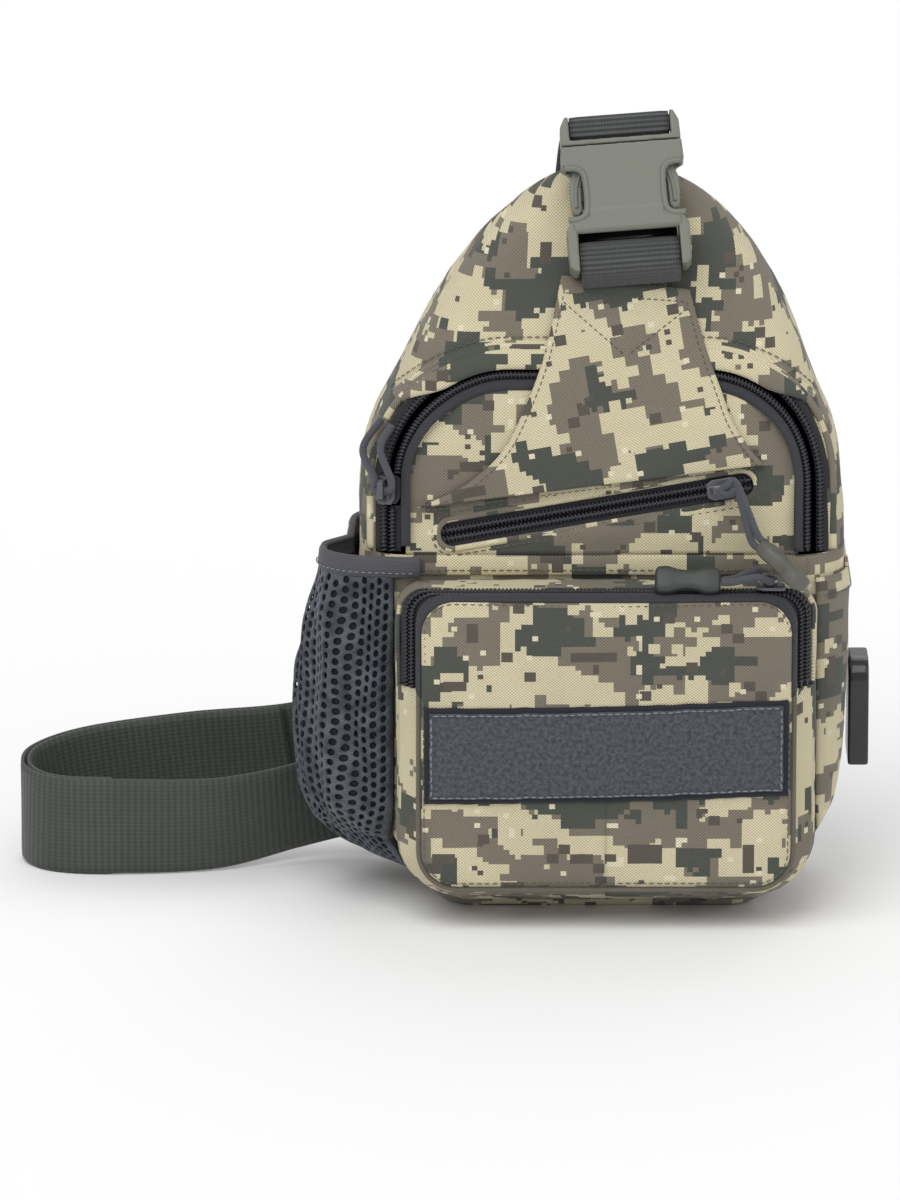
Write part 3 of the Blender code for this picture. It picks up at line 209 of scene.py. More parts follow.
# ---- points on the hidden side of the cloth, and the body and slot that most cloth has ----------------
BEHIND_FRONT = (0.0, 60.0, 150.0)
INSIDE_BAG = (0.0, 0.0, 70.0)
POCKET_INSIDE = (POCKET_X, -50.0, POCKET_MIDDLE)
BAG_CLOTH = {"body": "bag_body", "slot": "camo_fabric"}
FLAP_CLOTH = {"body": "flap", "slot": "camo_fabric"}


# ---- numbers and curves ------------------------------------------------------------------------------
def ease(value, low, high):
    """0 below low, 1 above high, smooth between; it also falls where high is below low."""
    t = min(max((value - low) / (high - low), 0.0), 1.0)
    return t * t * (3 - 2 * t)


def linear(colour):
    """Scene-linear colour of an sRGB colour given as three numbers up to 255."""
    parts = [c / 255.0 for c in colour]
    return tuple(c / 12.92 if c <= 0.04045 else ((c + 0.055) / 1.055) ** 2.4 for c in parts)


def between(stations, at):
    """Smooth interpolation of a list of (key, values...) rows, without overshoot."""
    if stations[0][0] > stations[-1][0]:
        stations = stations[::-1]
    if at <= stations[0][0]:
        return stations[0][1:]
    if at >= stations[-1][0]:
        return stations[-1][1:]
    i = max(k for k in range(len(stations) - 1) if stations[k][0] <= at)
    low, high = stations[i], stations[i + 1]
    span = high[0] - low[0]
    t = (at - low[0]) / span
    values = []
    for k in range(1, len(low)):
        step = (high[k] - low[k]) / span

        def slope(j):
            if j <= 0 or j >= len(stations) - 1:
                return step
            left = (stations[j][k] - stations[j - 1][k]) / (stations[j][0] - stations[j - 1][0])
            right = (stations[j + 1][k] - stations[j][k]) / (stations[j + 1][0] - stations[j][0])
            if left * right <= 0:
                return 0.0
            return 2 * left * right / (left + right)

        m0, m1 = slope(i) * span, slope(i + 1) * span
        t2, t3 = t * t, t * t * t
        value = (2 * t3 - 3 * t2 + 1) * low[k] + (t3 - 2 * t2 + t) * m0
        value += (3 * t2 - 2 * t3) * high[k] + (t3 - t2) * m1
        values.append(value)
    return tuple(values)


def ripple(point, size, seed):
    """Smooth noise from -1 to 1 whose bumps are about `size` across."""
    return noise.noise(Vector((point[0] / size + seed, point[1] / size - seed, point[2] / size)))


def smooth_path(stations, steps):
    """Points of a smooth curve through the stations."""
    knots = [Vector(p) for p in stations]
    knots = [knots[0] * 2 - knots[1]] + knots + [knots[-1] * 2 - knots[-2]]
    points = []
    for i in range(1, len(knots) - 2):
        a, b, c, d = knots[i - 1], knots[i], knots[i + 1], knots[i + 2]
        for k in range(steps):
            t = k / steps
            curve = b * 2 + (c - a) * t
            curve = curve + (a * 2 - b * 5 + c * 4 - d) * t * t
            curve = curve + (b * 3 - a - c * 3 + d) * t * t * t
            points.append(curve * 0.5)
    points.append(knots[-2])
    return points


def corner(cx, cy, radius, start, steps):
    """Points round a quarter circle from an angle in degrees, without the last one."""
    turns = [math.radians(start + 90 * k / steps) for k in range(steps)]
    return [(cx + radius * math.cos(t), cy + radius * math.sin(t)) for t in turns]


def direction(points, k):
    """The way that a line of points runs at one of them."""
    return points[min(k + 1, len(points) - 1)] - points[max(k - 1, 0)]


def square_to(way, axis):
    """The part of a direction that is at right angles to an axis, at length 1."""
    return (way - axis * way.dot(axis)).normalized()


# ---- the body's surface ------------------------------------------------------------------------------
def lean(z):
    """How far the bag leans to the right at one height."""
    return TOP_LEAN * ease(z, LEAN_FROM, LEAN_FROM + LEAN_OVER)


@lru_cache(maxsize=None)
def profile(z):
    """Half width, front line, back line and upright corner radius at one height."""
    half, front, back = between(BODY_STATIONS, z)
    radius = LOW_CORNER_RADIUS + (CORNER_RADIUS - LOW_CORNER_RADIUS) * ease(z, 20.0, 90.0)
    return half, front, back, min(radius, half * 0.9, (back - front) * 0.49)


def front_y(x, z):
    """Depth of the body's front surface."""
    half, front, _, radius = profile(z)
    past = abs(x - lean(z)) - (half - radius)
    if past <= 0:
        return front
    past = min(past, radius * 0.999)
    return front + radius - math.sqrt(radius * radius - past * past)


def front_normal(x, z):
    """Outward direction of the body's front surface."""
    step = 0.5
    dy_dx = (front_y(x + step, z) - front_y(x - step, z)) / (2 * step)
    dy_dz = (front_y(x, z + step) - front_y(x, z - step)) / (2 * step)
    return Vector((dy_dx, -1.0, dy_dz)).normalized()


def front_point(x, z, out=0.0):
    """A point at a distance outside the body's front surface."""
    return Vector((x, front_y(x, z), z)) + front_normal(x, z) * out


def body_ring(z):
    """Outline of the body at one height with the distance of each point from the front's middle."""
    half, front, back, radius = profile(z)
    middle = half - radius
    shift = lean(z)
    ring = []
    for k in range(RING_ACROSS):
        t = k / RING_ACROSS
        ring.append((shift - middle + 2 * middle * t, front))
    ring += corner(shift + middle, front + radius, radius, -90, RING_AROUND)
    for k in range(RING_SIDE):
        ring.append((shift + half, front + radius + (back - front - 2 * radius) * k / RING_SIDE))
    ring += corner(shift + middle, back - radius, radius, 0, RING_AROUND)
    for k in range(RING_ACROSS):
        ring.append((shift + middle - 2 * middle * k / RING_ACROSS, back))
    ring += corner(shift - middle, back - radius, radius, 90, RING_AROUND)
    for k in range(RING_SIDE):
        ring.append((shift - half, back - radius - (back - front - 2 * radius) * k / RING_SIDE))
    ring += corner(shift - middle, front + radius, radius, 180, RING_AROUND)
    return [Vector((x, y, z)) for x, y in ring]


def side_turn(x, z):
    """The share of the way round the side at which the body's front corner reaches x."""
    half, front, back, radius = profile(z)
    total = SIDE_FRONT + math.pi * radius + (back - front) - 2 * radius
    sine = min(max((x - half + radius) / radius, -1.0), 1.0)
    return (SIDE_FRONT + radius * math.asin(sine)) / total


def side_point(turn, z, out, sign):
    """A point outside the body's side; turn runs from 0 in front to 1 where the back begins."""
    half, front, back, radius = profile(z)
    arc = radius * math.pi / 2
    flat_side = (back - front) - 2 * radius
    s = turn * (SIDE_FRONT + 2 * arc + flat_side)
    if s < SIDE_FRONT:
        x, y = half - radius - SIDE_FRONT + s, front
        normal = (0.0, -1.0)
    elif s < SIDE_FRONT + arc:
        a = (s - SIDE_FRONT) / radius
        x, y = half - radius + radius * math.sin(a), front + radius - radius * math.cos(a)
        normal = (math.sin(a), -math.cos(a))
    elif s < SIDE_FRONT + arc + flat_side:
        x, y = half, front + radius + (s - SIDE_FRONT - arc)
        normal = (1.0, 0.0)
    else:
        a = (s - SIDE_FRONT - arc - flat_side) / radius
        x, y = half - radius + radius * math.cos(a), back - radius + radius * math.sin(a)
        normal = (math.cos(a), math.sin(a))
    return Vector((sign * (x + normal[0] * out) + lean(z), y + normal[1] * out, z))


# ---- outlines on the front: signed distance, negative inside -----------------------------------------
def arch_distance(x, z):
    """Distance outside the line of the main zip."""
    x = abs(x - lean(z))
    spring = ARCH_TOP - ARCH_RADIUS
    middle = ARCH_HALF_WIDTH - ARCH_RADIUS
    if z <= spring:
        return x - ARCH_HALF_WIDTH
    if x > middle:
        return math.hypot(x - middle, z - spring) - ARCH_RADIUS
    return z - ARCH_TOP


def mouth_distance(x, z):
    """Distance outside the opening that the flap covers."""
    return max(arch_distance(x, z) - BODY_EDGE, HINGE_Z - z)


def diag_point(along, across=0.0):
    """The place (x, z) at a distance along and across the diagonal zip."""
    x = DIAG_LEFT[0] + along * math.cos(DIAG_ANGLE) - across * math.sin(DIAG_ANGLE)
    z = DIAG_LEFT[1] + along * math.sin(DIAG_ANGLE) + across * math.cos(DIAG_ANGLE)
    return x, z


def slot_distance(x, z):
    """Distance outside the window of the diagonal zip."""
    dx, dz = x - DIAG_LEFT[0], z - DIAG_LEFT[1]
    along = dx * math.cos(DIAG_ANGLE) + dz * math.sin(DIAG_ANGLE)
    across = dz * math.cos(DIAG_ANGLE) - dx * math.sin(DIAG_ANGLE)
    half = DIAG_SLOT / 2
    nearest = min(max(along, half), DIAG_LENGTH - half)
    return math.hypot(along - nearest, across) - half


# ---- mesh building -----------------------------------------------------------------------------------

def make_object(name, points, faces, uvs, material, body=None, slot=None, sharp=None):
    """A mesh piece from points in millimetres; uvs are metres of cloth, one pair for each point."""
    mesh = bpy.data.meshes.new(name)
    mesh.from_pydata([tuple(c * MM for c in p) for p in points], [], faces)
    mesh.materials.append(material)
    if uvs is not None:
        layer = mesh.uv_layers.new(name="fabric")
        index = np.empty(len(mesh.loops), np.int32)
        mesh.loops.foreach_get("vertex_index", index)
        layer.data.foreach_set("uv", np.array(uvs, np.float32)[index].ravel() * MM)
    mesh.shade_smooth()
    if sharp is not None:
        mesh.set_sharp_from_angle(angle=math.radians(sharp))
    piece = bpy.data.objects.new(name, mesh)
    bpy.context.scene.collection.objects.link(piece)
    if body is not None:
        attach(piece, body)
    return piece


def grid_normals(grid, closed):
    """Unit normals of a grid of points, which may join up column to column."""
    down = np.gradient(grid, axis=0)
    if closed:
        across = np.roll(grid, -1, axis=1) - np.roll(grid, 1, axis=1)
    else:
        across = np.gradient(grid, axis=1)
    normal = np.cross(across, down)
    length = np.linalg.norm(normal, axis=2, keepdims=True)
    return normal / np.maximum(length, 1e-9)


def grid_faces(rows, columns, closed):
    faces = []
    for i in range(rows - 1):
        for j in range(columns if closed else columns - 1):
            k = (j + 1) % columns
            faces.append((i * columns + j, i * columns + k, (i + 1) * columns + k, (i + 1) * columns + j))
    return faces


def capped_faces(rows, columns):
    """Faces of a tube of points with one face over each end."""
    faces = grid_faces(rows, columns, True)
    faces.append(tuple(range(columns)))
    faces.append(tuple((rows - 1) * columns + j for j in reversed(range(columns))))
    return faces


def pillow_faces(rows, columns):
    """Faces of a flat tube of points whose ends are closed from each point to the one opposite."""
    faces = grid_faces(rows, columns, True)
    for row in (0, rows - 1):
        for k in range(columns // 2 - 1):
            a = row * columns + k
            b = row * columns + columns - 1 - k
            faces.append((a, a + 1, b - 1, b))
    return faces


def face_away(points, faces, inside):
    """Turns the faces of a skin so that they face away from a point on its hidden side."""
    a, b, c = (np.array(points[k]) for k in faces[len(faces) // 2][:3])
    if np.dot(np.cross(b - a, c - a), a - np.array(inside)) < 0:
        return [tuple(reversed(f)) for f in faces]
    return faces


def thicken(piece, thick):
    """Gives a skin its thickness, on its hidden side."""
    skin = piece.modifiers.new("thickness", "SOLIDIFY")
    skin.thickness = thick * MM
    skin.offset = -1.0
    return skin


def shape_grid(grid, relief, closed=False):
    """Moves each grid point along its normal by relief(point, row, column)."""
    grid = np.array(grid, float)
    normal = grid_normals(grid, closed)
    moved = grid.copy()
    for i in range(grid.shape[0]):
        for j in range(grid.shape[1]):
            moved[i, j] += normal[i, j] * relief(grid[i, j], i, j)
    return moved


def cloth_piece(name, grid, uvs, material, thick, inside, closed=False, cut=None, lining=None, **extra):
    """An open grid as a skin of cloth. Faces for which cut(x, z) is below 0 go, and the points left on
    the cut's edge are drawn onto it. `inside` is a point on the cloth's hidden side."""
    grid = np.array(grid, float)
    rows, columns = grid.shape[:2]
    points = grid.reshape(-1, 3)
    faces = grid_faces(rows, columns, closed)
    if cut is not None:
        points, faces = cut_faces(points, faces, *cut)
    points, faces, uvs = drop_unused(points, faces, np.array(uvs, float).reshape(-1, 2))
    piece = make_object(name, points, face_away(points, faces, inside), uvs, material, **extra)
    if lining is not None:
        piece.data.materials.append(lining)
    skin = thicken(piece, thick)
    skin.material_offset = 0 if lining is None else 1
    skin.material_offset_rim = 0
    return piece


def cut_faces(points, faces, distance, applies):
    """Drops faces inside an outline on the front, and draws the rest of the edge onto the outline."""
    far = {}
    for k, p in enumerate(points):
        far[k] = distance(p[0], p[2]) if applies(p) else 99.0
    kept = []
    gone = set()
    for face in faces:
        if sum(far[k] for k in face) < 0:
            gone.update(face)
        else:
            kept.append(face)
    used = {k for face in kept for k in face}
    points = points.copy()
    step = 0.2
    for k in gone & used:
        for _ in range(3):
            x, z = points[k][0], points[k][2]
            away = distance(x, z)
            slope_x = (distance(x + step, z) - distance(x - step, z)) / (2 * step)
            slope_z = (distance(x, z + step) - distance(x, z - step)) / (2 * step)
            size = math.hypot(slope_x, slope_z)
            if size < 1e-6:
                break
            points[k][0] = x - away * slope_x / size / size
            points[k][2] = z - away * slope_z / size / size
    return points, kept


def drop_unused(points, faces, uvs):
    """Leaves out the points that no face uses."""
    used = sorted({k for face in faces for k in face})
    place = {k: n for n, k in enumerate(used)}
    return points[used], [tuple(place[k] for k in face) for face in faces], uvs[used]


class Path:
    """A line with a side direction and an outward direction, read at any distance along it."""

    def __init__(self, frames):
        self.points = np.array([tuple(f[0]) for f in frames], float)
        self.sides = np.array([tuple(f[1]) for f in frames], float)
        self.outs = np.array([tuple(f[2]) for f in frames], float)
        steps = np.linalg.norm(np.diff(self.points, axis=0), axis=1)
        self.marks = np.concatenate([[0.0], np.cumsum(steps)])
        self.length = float(self.marks[-1])

    def read(self, values, at):
        return np.stack([np.interp(at, self.marks, values[:, k]) for k in range(3)], axis=-1)

    def frames(self, at):
        side = self.read(self.sides, at)
        out = self.read(self.outs, at)
        side /= np.linalg.norm(side, axis=-1, keepdims=True)
        out /= np.linalg.norm(out, axis=-1, keepdims=True)
        return self.read(self.points, at), side, out


def turning_frames(points, first_side):
    """Frames along a line that turn as little as possible from one point to the next."""
    frames = []
    side = Vector(first_side)
    for i, point in enumerate(points):
        along = direction(points, i).normalized()
        side = square_to(side, along)
        frames.append((Vector(point), side.copy(), along.cross(side)))
    return frames


def swept(path, section, step, start=0.0, end=None):
    """Points, faces and cloth coordinates of a closed section carried along a path."""
    end = path.length if end is None else end
    count = max(int((end - start) / step), 1) + 1
    at = np.linspace(start, end, count)
    centre, side, out = path.frames(at)
    section = np.array(section, float)
    around = np.concatenate([[0.0], np.cumsum(np.linalg.norm(np.diff(section, axis=0), axis=1))])
    points = centre[:, None] + side[:, None] * section[None, :, :1] + out[:, None] * section[None, :, 1:]
    uvs = np.stack(np.meshgrid(at, around, indexing="ij"), axis=-1)
    return points.reshape(-1, 3), capped_faces(count, len(section)), uvs.reshape(-1, 2)


def closed_piece(name, points, faces, uvs, material, **extra):
    """A closed mesh piece with all its faces turned outwards."""
    piece = make_object(name, points, faces, uvs, material, **extra)
    work = bmesh.new()
    work.from_mesh(piece.data)
    bmesh.ops.recalc_face_normals(work, faces=work.faces)
    work.to_mesh(piece.data)
    work.free()
    return piece


def sweep_piece(name, path, section, material, step=1.6, start=0.0, end=None, **extra):
    return closed_piece(name, *swept(path, section, step, start, end), material, **extra)


def oval(half_wide, half_tall, count=12, side=0.0, out=0.0):
    turns = [2 * math.pi * (k + 0.5) / count for k in range(count)]
    return [(side + half_wide * math.cos(t), out + half_tall * math.sin(t)) for t in turns]


def flat_section(low, high, base, thick):
    """A flat strip's section, from side `low` to `high`, with its rounded edges."""
    columns = 6
    bulge = 0.35 * 0.2
    top = [low + (high - low) * k / columns for k in range(columns + 1)]
    section = [(low - bulge, base + thick * 0.5)]
    section += [(s, base + thick - (thick * 0.25 if k in (0, columns) else 0.0)) for k, s in enumerate(top)]
    section += [(high + bulge, base + thick * 0.5)]
    section += [(s, base) for s in reversed(top)]
    return section


# ---- thread, coils and cords -------------------------------------------------------------------------
def add_tube(points, outs, radius, sides, pool):
    """Adds a tube along the points to a pool of (points, faces, cloth coordinates)."""
    points = np.array(points, float)
    along = np.gradient(points, axis=0)
    along /= np.maximum(np.linalg.norm(along, axis=1, keepdims=True), 1e-9)
    out = np.array(outs, float)
    out = out - along * (out * along).sum(axis=1, keepdims=True)
    out /= np.maximum(np.linalg.norm(out, axis=1, keepdims=True), 1e-9)
    side = np.cross(along, out)
    turns = 2 * math.pi * np.arange(sides) / sides
    size = np.broadcast_to(radius, len(points))[:, None, None]
    ring = side[:, None] * np.cos(turns)[None, :, None] + out[:, None] * np.sin(turns)[None, :, None]
    tube = points[:, None] + ring * size
    marks = np.concatenate([[0.0], np.cumsum(np.linalg.norm(np.diff(points, axis=0), axis=1))])
    around = turns * float(np.max(radius))
    uvs = np.stack(np.meshgrid(marks, around, indexing="ij"), axis=-1)
    first = len(pool[0])
    pool[0].extend(tube.reshape(-1, 3))
    pool[2].extend(uvs.reshape(-1, 2))
    count = len(points)
    pool[1].extend([tuple(first + k for k in f) for f in grid_faces(count, sides, True)])
    pool[1].append(tuple(first + j for j in reversed(range(sides))))
    pool[1].append(tuple(first + (count - 1) * sides + j for j in range(sides)))


def coil_piece(name, path, side, half_wide, out, body, start=0.0, end=None):
    """A zip's nylon coil: a flattened spiral of wire along a path, with the cord that runs through it."""
    end = path.length if end is None else end
    steps = 10
    turns = int((end - start) / COIL_PITCH)
    at = start + COIL_PITCH * np.arange(turns * steps + 1) / steps
    angle = 2 * math.pi * np.arange(turns * steps + 1) / steps
    centre, across, normal = path.frames(at)
    wave = np.cos(angle)[:, None]
    rise = np.sin(angle)[:, None]
    middle = centre + across * side + normal * out
    wire = middle + across * half_wide * wave + normal * COIL_TALL * rise
    outward = across * wave + normal * rise
    pool = ([], [], [])
    add_tube(wire, outward, COIL_WIRE, 5, pool)
    spine = path.frames(np.linspace(start, end, max(int((end - start) / 3), 2)))
    core = spine[0] + spine[1] * side + spine[2] * out
    add_tube(core, spine[2], COIL_TALL * 0.75, 6, pool)
    closed_piece(name, *pool, COIL, body=body, slot="zip")


THREADS = {}


def stitch_line(group, points, outs, pitch=3.0, length=2.2, thick=0.26, lift=0.12):
    """Notes the stitches of one seam; they become meshes at the end, one for each group."""
    path = Path([(p, o, o) for p, o in zip(points, outs)])
    count = int(path.length / pitch)
    for k in range(count):
        start = (k + 0.15) * pitch
        at = np.linspace(start, start + length, 5)
        centre, _, out = path.frames(at)
        bow = np.array([-0.22, 0.06, 0.14, 0.06, -0.22])[:, None]
        THREADS.setdefault(group, []).append((centre + out * (lift + bow), out, thick))


def make_stitches(group, material, body, slot):
    pool = ([], [], [])
    shape = np.array([0.35, 0.95, 1.0, 0.95, 0.35])
    for centre, out, thick in THREADS.get(group, []):
        add_tube(centre, out, shape * thick, 6, pool)
    make_object("stitches_" + group, *pool, material, body=body, slot=slot)


def front_line(places, out):
    """Points and outward directions on the body's front for a list of (x, z)."""
    points = [front_point(x, z, out) for x, z in places]
    return points, [front_normal(x, z) for x, z in places]


def straight(start, end):
    """Points about 2 mm apart from one place on the front to another."""
    count = max(int(math.dist(start, end) / 2.0), 1)
    places = []
    for k in range(count + 1):
        t = k / count
        places.append(tuple(a + (b - a) * t for a, b in zip(start, end)))
    return places


# ---- materials ---------------------------------------------------------------------------------------
class Nodes:
    """A material's node tree, with short calls for the nodes that the fabrics share."""

    def __init__(self, name, roughness, metallic=0.0):
        self.material = bpy.data.materials.new(name)
        self.material.use_nodes = True
        self.tree = self.material.node_tree
        self.shader = self.tree.nodes["Principled BSDF"]
        self.shader.inputs["Roughness"].default_value = roughness
        self.shader.inputs["Metallic"].default_value = metallic
        self.shader.inputs["Base Color"].default_value = (0.5, 0.5, 0.5, 1.0)

    def put(self, socket, value):
        if isinstance(value, bpy.types.NodeSocket):
            self.tree.links.new(value, socket)
        else:
            socket.default_value = value

    def add(self, kind, inputs=(), **settings):
        node = self.tree.nodes.new(kind)
        for key, value in settings.items():
            setattr(node, key, value)
        for key, value in dict(inputs).items():
            self.put(node.inputs[key], value)
        return node

    def uv(self):
        return self.add("ShaderNodeUVMap", uv_map="fabric").outputs[0]

    def place(self):
        return self.add("ShaderNodeTexCoord").outputs["Object"]

    def math(self, operation, a, b=0.0, c=0.0):
        return self.add("ShaderNodeMath", {0: a, 1: b, 2: c}, operation=operation).outputs[0]

    def vector(self, operation, a, b=(0.0, 0.0, 0.0)):
        node = self.add("ShaderNodeVectorMath", {0: a, 1: b}, operation=operation)
        return node.outputs[0]

    def noise(self, where, scale, detail=2.0, roughness=0.5):
        inputs = {"Vector": where, "Scale": scale, "Detail": detail, "Roughness": roughness}
        return self.add("ShaderNodeTexNoise", inputs).outputs[0]

    def split(self, vector):
        return self.add("ShaderNodeSeparateXYZ", {0: vector}).outputs

    def mix(self, share, a, b, blend="MIX"):
        """Mixes two colours."""
        node = self.tree.nodes.new("ShaderNodeMix")
        node.data_type = "RGBA"
        node.blend_type = blend
        self.put(node.inputs[0], share)
        for socket, value in ((node.inputs[6], a), (node.inputs[7], b)):
            self.put(socket, (*value, 1.0) if isinstance(value, tuple) and len(value) == 3 else value)
        return node.outputs[2]

    def remap(self, value, low, high, to_low, to_high):
        inputs = {0: value, 1: low, 2: high, 3: to_low, 4: to_high}
        return self.add("ShaderNodeMapRange", inputs).outputs[0]

    def above(self, value, limit):
        return self.math("GREATER_THAN", value, limit)

    def wave(self, value, period):
        """A sine of a length in metres, from -1 to 1."""
        return self.math("SINE", self.math("MULTIPLY", value, 2 * math.pi / period))

    def height(self, wave):
        """A wave from -1 to 1 as a height from 0 to 1."""
        return self.math("MULTIPLY_ADD", wave, 0.5, 0.5)

    def mottled(self, colour, scale, low, high):
        """A colour whose brightness drifts between two shares."""
        return darken(self, linear(colour), self.noise(self.place(), scale, 3.0), low, high)

    def colour(self, value):
        self.put(self.shader.inputs["Base Color"], value)

    def bump(self, height, distance, strength=1.0):
        """Bump whose height from 0 to 1 stands for `distance` millimetres."""
        inputs = {"Height": height, "Distance": distance * MM, "Strength": strength}
        node = self.add("ShaderNodeBump", inputs)
        self.put(self.shader.inputs["Normal"], node.outputs[0])

    def sheen(self, weight, roughness=0.5):
        self.shader.inputs["Sheen Weight"].default_value = weight
        self.shader.inputs["Sheen Roughness"].default_value = roughness
        self.shader.inputs["Sheen Tint"].default_value = (1.0, 1.0, 1.0, 1.0)


def canvas(n, uv, pitch):
    """Height, from 0 to 1, of a plain canvas weave."""
    u, v, _ = n.split(uv)
    knots = n.math("MULTIPLY", n.wave(u, pitch), n.wave(v, pitch * 0.84))
    return n.height(knots)


def darken(n, colour, height, low, high):
    """Multiplies a colour by a share that follows a height from 0 to 1."""
    share = n.remap(height, 0.0, 1.0, low, high)
    grey = n.add("ShaderNodeCombineColor", {0: share, 1: share, 2: share}).outputs[0]
    return n.mix(1.0, colour, grey, "MULTIPLY")


SAND = linear((206, 197, 164))
STONE = linear((122, 114, 100))
MOSS = linear((74, 78, 70))
BARK = linear((88, 81, 73))
CREAM = linear((222, 214, 186))


def camo_material():
    """Woven polyester printed with square-edged patches in sand, stone and dark green-grey."""
    n = Nodes("camo_fabric", 0.85)
    uv = n.uv()
    block = (0.0044, 0.0038, 1.0)
    half = (0.0022, 0.0019, 1.0)

    def patches(shift, scale, detail, cell, scatter, tall=1.25):
        moved = n.vector("ADD", uv, shift)
        snapped = n.vector("SNAP", moved, cell)
        stretched = n.vector("MULTIPLY", snapped, (1.0, tall, 1.0))
        field = n.noise(stretched, scale, detail, 0.5)
        speck = n.add("ShaderNodeTexWhiteNoise", {0: snapped}, noise_dimensions="2D").outputs[0]
        return n.math("ADD", field, n.math("MULTIPLY_ADD", speck, scatter, -scatter / 2))

    def both(shift, scale, detail, limit, tall=1.25):
        """Blocks with a few half-size ones scattered along their edges."""
        large = n.above(patches(shift, scale, detail, block, 0.05, tall), limit)
        small = n.above(patches(shift, scale, detail, half, 0.16, tall), limit + 0.055)
        return n.math("MAXIMUM", large, small)

    stone = both((0.31, 0.17, 0.0), 30.0, 1.5, 0.485)
    moss = both((1.73, 0.55, 0.0), 36.0, 1.5, 0.560)
    bark = n.above(patches((2.91, 1.13, 0.0), 60.0, 1.0, block, 0.12), 0.66)
    back = both((6.11, 3.57, 0.0), 40.0, 1.5, 0.60)
    cream = n.above(patches((4.37, 2.71, 0.0), 130.0, 1.0, half, 0.2), 0.73)
    fleck = n.above(patches((8.21, 5.33, 0.0), 110.0, 1.0, half, 0.2), 0.75)
    colour = n.mix(stone, SAND, STONE)
    colour = n.mix(moss, colour, MOSS)
    colour = n.mix(back, colour, SAND)
    colour = n.mix(bark, colour, BARK)
    colour = n.mix(cream, colour, CREAM)
    colour = n.mix(fleck, colour, BARK)
    weave = canvas(n, uv, 0.00132)
    worn = n.noise(n.place(), 28.0, 3.0)
    colour = darken(n, colour, worn, 0.88, 1.12)
    # Painted shade and highlight: the colour is darkened in the weave's hollows and lightened on its raised
    # knots.
    colour = darken(n, colour, weave, 0.6, 1.3)
    n.colour(colour)
    n.bump(weave, 0.3, 0.9)
    n.sheen(0.1)
    return n.material


def weave_material(name, colour, roughness, pitch, depth):
    """Plain woven cloth of one colour."""
    n = Nodes(name, roughness)
    weave = canvas(n, n.uv(), pitch)
    shade = n.mottled(colour, 40.0, 0.8, 1.2)
    # Painted shade in the weave's hollows and a painted highlight on its raised knots.
    n.colour(darken(n, shade, weave, 0.75, 1.15))
    n.bump(weave, depth)
    n.sheen(0.1)
    return n.material


def ribbed_material(name, colour, pitch, depth, low):
    """Tape or webbing with ribs across its length; painted shade darkens the hollows to a share `low` and a
    painted highlight lightens the rib tops.
    """
    n = Nodes(name, 0.72)
    u, v, _ = n.split(n.uv())
    rib = n.height(n.wave(u, pitch))
    fine = n.height(n.wave(v, pitch * 0.62))
    height = n.math("MULTIPLY_ADD", fine, 0.35, n.math("MULTIPLY", rib, 0.65))
    shade = n.mottled(colour, 55.0, 0.82, 1.18)
    # Painted shade in the rib hollows and a painted highlight on the rib tops.
    n.colour(darken(n, shade, height, low, 1.2))
    n.bump(height, depth)
    n.sheen(0.12)
    return n.material


def herringbone_material(name, colour, pitch, band):
    """Twill tape whose slanted ribs change direction every band."""
    n = Nodes(name, 0.75)
    u, v, _ = n.split(n.uv())
    zigzag = n.math("PINGPONG", v, band)
    rib = n.height(n.wave(n.math("ADD", u, zigzag), pitch))
    # Painted shade in the hollows between the twill ribs and a painted highlight on their tops.
    n.colour(darken(n, linear(colour), rib, 0.68, 1.2))
    n.bump(rib, 0.18)
    n.sheen(0.06)
    return n.material


def plastic_material(name, colour, roughness, grain, coat=0.0):
    """Moulded plastic with a fine spark-eroded grain and slightly paler worn places."""
    n = Nodes(name, roughness)
    where = n.place()
    cloud = n.noise(where, 60.0, 4.0)
    n.colour(darken(n, linear(colour), cloud, 0.9, 1.1))
    n.put(n.shader.inputs["Roughness"], n.remap(cloud, 0.3, 0.7, roughness - 0.05, roughness + 0.08))
    n.bump(n.noise(where, 2600.0, 2.0), grain, 0.5)
    n.shader.inputs["Coat Weight"].default_value = coat
    return n.material


def metal_material(name, colour, roughness, metallic):
    """Cast metal with a thin painted or plated skin."""
    n = Nodes(name, roughness, metallic=metallic)
    where = n.place()
    n.colour(darken(n, linear(colour), n.noise(where, 300.0, 3.0), 0.85, 1.15))
    n.bump(n.noise(where, 900.0, 3.0), 0.05, 0.5)
    return n.material


def braid_material(name, colour):
    """Braided cord: two sets of strands that cross round it."""
    n = Nodes(name, 0.7)
    u, v, _ = n.split(n.uv())
    left = n.wave(n.math("ADD", u, v), 0.0013)
    right = n.wave(n.math("SUBTRACT", u, v), 0.0013)
    strands = n.height(n.math("MULTIPLY", left, right))
    # Painted shade in the gaps between the strands and a painted highlight on their crowns.
    n.colour(darken(n, linear(colour), strands, 0.6, 1.25))
    n.bump(strands, 0.25)
    n.sheen(0.15)
    return n.material


def pile_material():
    """Brushed loop pile: mottled fibres."""
    n = Nodes("loop_pile", 0.95)
    uv = n.uv()
    cloud = n.noise(uv, 620.0, 3.0, 0.7)
    fibre = n.noise(uv, 1900.0, 3.0, 0.7)
    colour = n.mix(n.remap(cloud, 0.35, 0.65, 0.0, 1.0), linear((58, 60, 66)), linear((94, 96, 103)))
    n.colour(darken(n, colour, fibre, 0.55, 1.45))
    n.bump(fibre, 0.8)
    n.sheen(0.2, 0.4)
    return n.material


